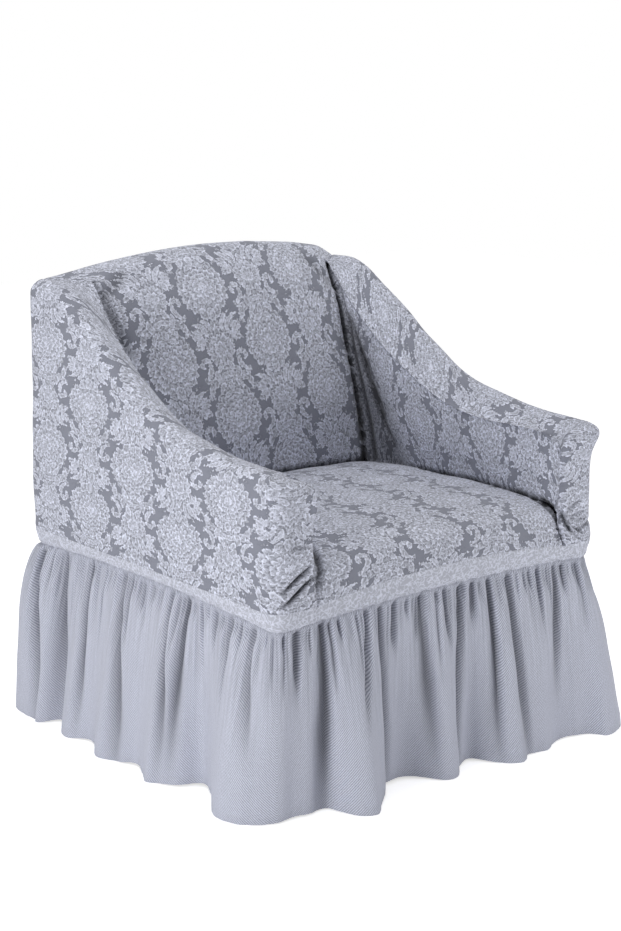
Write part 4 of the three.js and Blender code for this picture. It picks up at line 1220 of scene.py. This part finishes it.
# what each piece is cut from, left and right alike: its cloth and its slot name
cloths = dict(waistband=(plain, "waistband_cloth"), skirt=(gathered, "skirt_cloth"))
for name, piece in pieces.items():
    cloth, slot = cloths.get(name, (damask, "damask_cloth"))
    piece.data.materials.append(cloth)
    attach(piece, "root")
    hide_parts(name)

studio = dict(floorSize=14., floorColour=(.86, .86, .87, 1), floorRoughness=.9, floorGlow=.62,
              worldLight=.45)
lamps = dict(
    key=dict(power=60., size=1.6, place=(-3.5, -.95, .60)),
    fill=dict(power=13., size=1.2, place=(1.3, -1.8, .3)),
    top=dict(power=32., size=2., place=(-.2, .6, 3.2)))
view = dict(azimuth=39.3, elevation=14.3, distance=3.4, aim=(0, 0, .42),
            lens=65.8, shiftX=.0025, shiftY=.0504)


def seenDirectly(tree):  # 1 for what the camera sees, also in gloss and through glass
    path = addNode(tree, "LightPath", {})
    seen = maths(tree, "MAXIMUM", path["Is Camera Ray"], path["Is Glossy Ray"])
    return maths(tree, "MAXIMUM", seen, path["Is Transmission Ray"])


def buildFloor():  # white paper that also glows a little, but only as seen
    half = studio["floorSize"] / 2
    me = bpy.data.meshes.new("floor")
    corners = [(-half, -half, 0), (half, -half, 0), (half, half, 0), (-half, half, 0)]
    me.from_pydata(corners, [], [(0, 1, 2, 3)])
    floor = bpy.data.objects.new("floor", me)
    scene.collection.objects.link(floor)
    material = bpy.data.materials.new("floorPaint")
    material.use_nodes = True
    tree = material.node_tree
    shader = tree.nodes["Principled BSDF"]
    shader.inputs["Base Color"].default_value = studio["floorColour"]
    shader.inputs["Roughness"].default_value = studio["floorRoughness"]
    shader.inputs["Emission Color"].default_value = (1, 1, 1, 1)
    glow = times(tree, seenDirectly(tree), studio["floorGlow"])
    tree.links.new(glow, shader.inputs["Emission Strength"])
    me.materials.append(material)


def pointAt(lampOrCamera, fro, to):  # placed at one point, looking at another
    lampOrCamera.location = fro
    lampOrCamera.rotation_euler = (Vector(to) - Vector(fro)).to_track_quat("-Z", "Y").to_euler()


def addLamp(name, aim):
    light = bpy.data.lights.new(name + "Lamp", "AREA")
    light.energy = lamps[name]["power"]
    light.size = lamps[name]["size"]
    lamp = bpy.data.objects.new(name + "Lamp", light)
    scene.collection.objects.link(lamp)
    pointAt(lamp, lamps[name]["place"], aim)


def buildWorld():  # white as seen, dimmer as a light
    world = bpy.data.worlds.new("studio")
    world.use_nodes = True
    tree = world.node_tree
    light = tree.nodes["Background"]
    light.inputs["Color"].default_value = (1, 1, 1, 1)
    tree.links.new(fromLeast(tree, seenDirectly(tree), studio["worldLight"]), light.inputs["Strength"])
    scene.world = world


def buildCamera(aim):  # round from the front by the azimuth and up by the elevation
    a, e = np.radians(view["azimuth"]), np.radians(view["elevation"])
    back = np.array([-np.sin(a) * np.cos(e), -np.cos(a) * np.cos(e), np.sin(e)])
    lens = bpy.data.cameras.new("camera")
    lens.lens = view["lens"]
    lens.shift_x, lens.shift_y = view["shiftX"], view["shiftY"]
    camera = bpy.data.objects.new("camera", lens)
    scene.collection.objects.link(camera)
    pointAt(camera, tuple(aim + back * view["distance"]), tuple(aim))
    scene.camera = camera


aim = np.array(view["aim"]) + place
buildFloor()
buildWorld()
for lampName in lamps:
    addLamp(lampName, tuple(aim))
buildCamera(aim)
scene.view_settings.view_transform = "Standard"
print("studio ready")
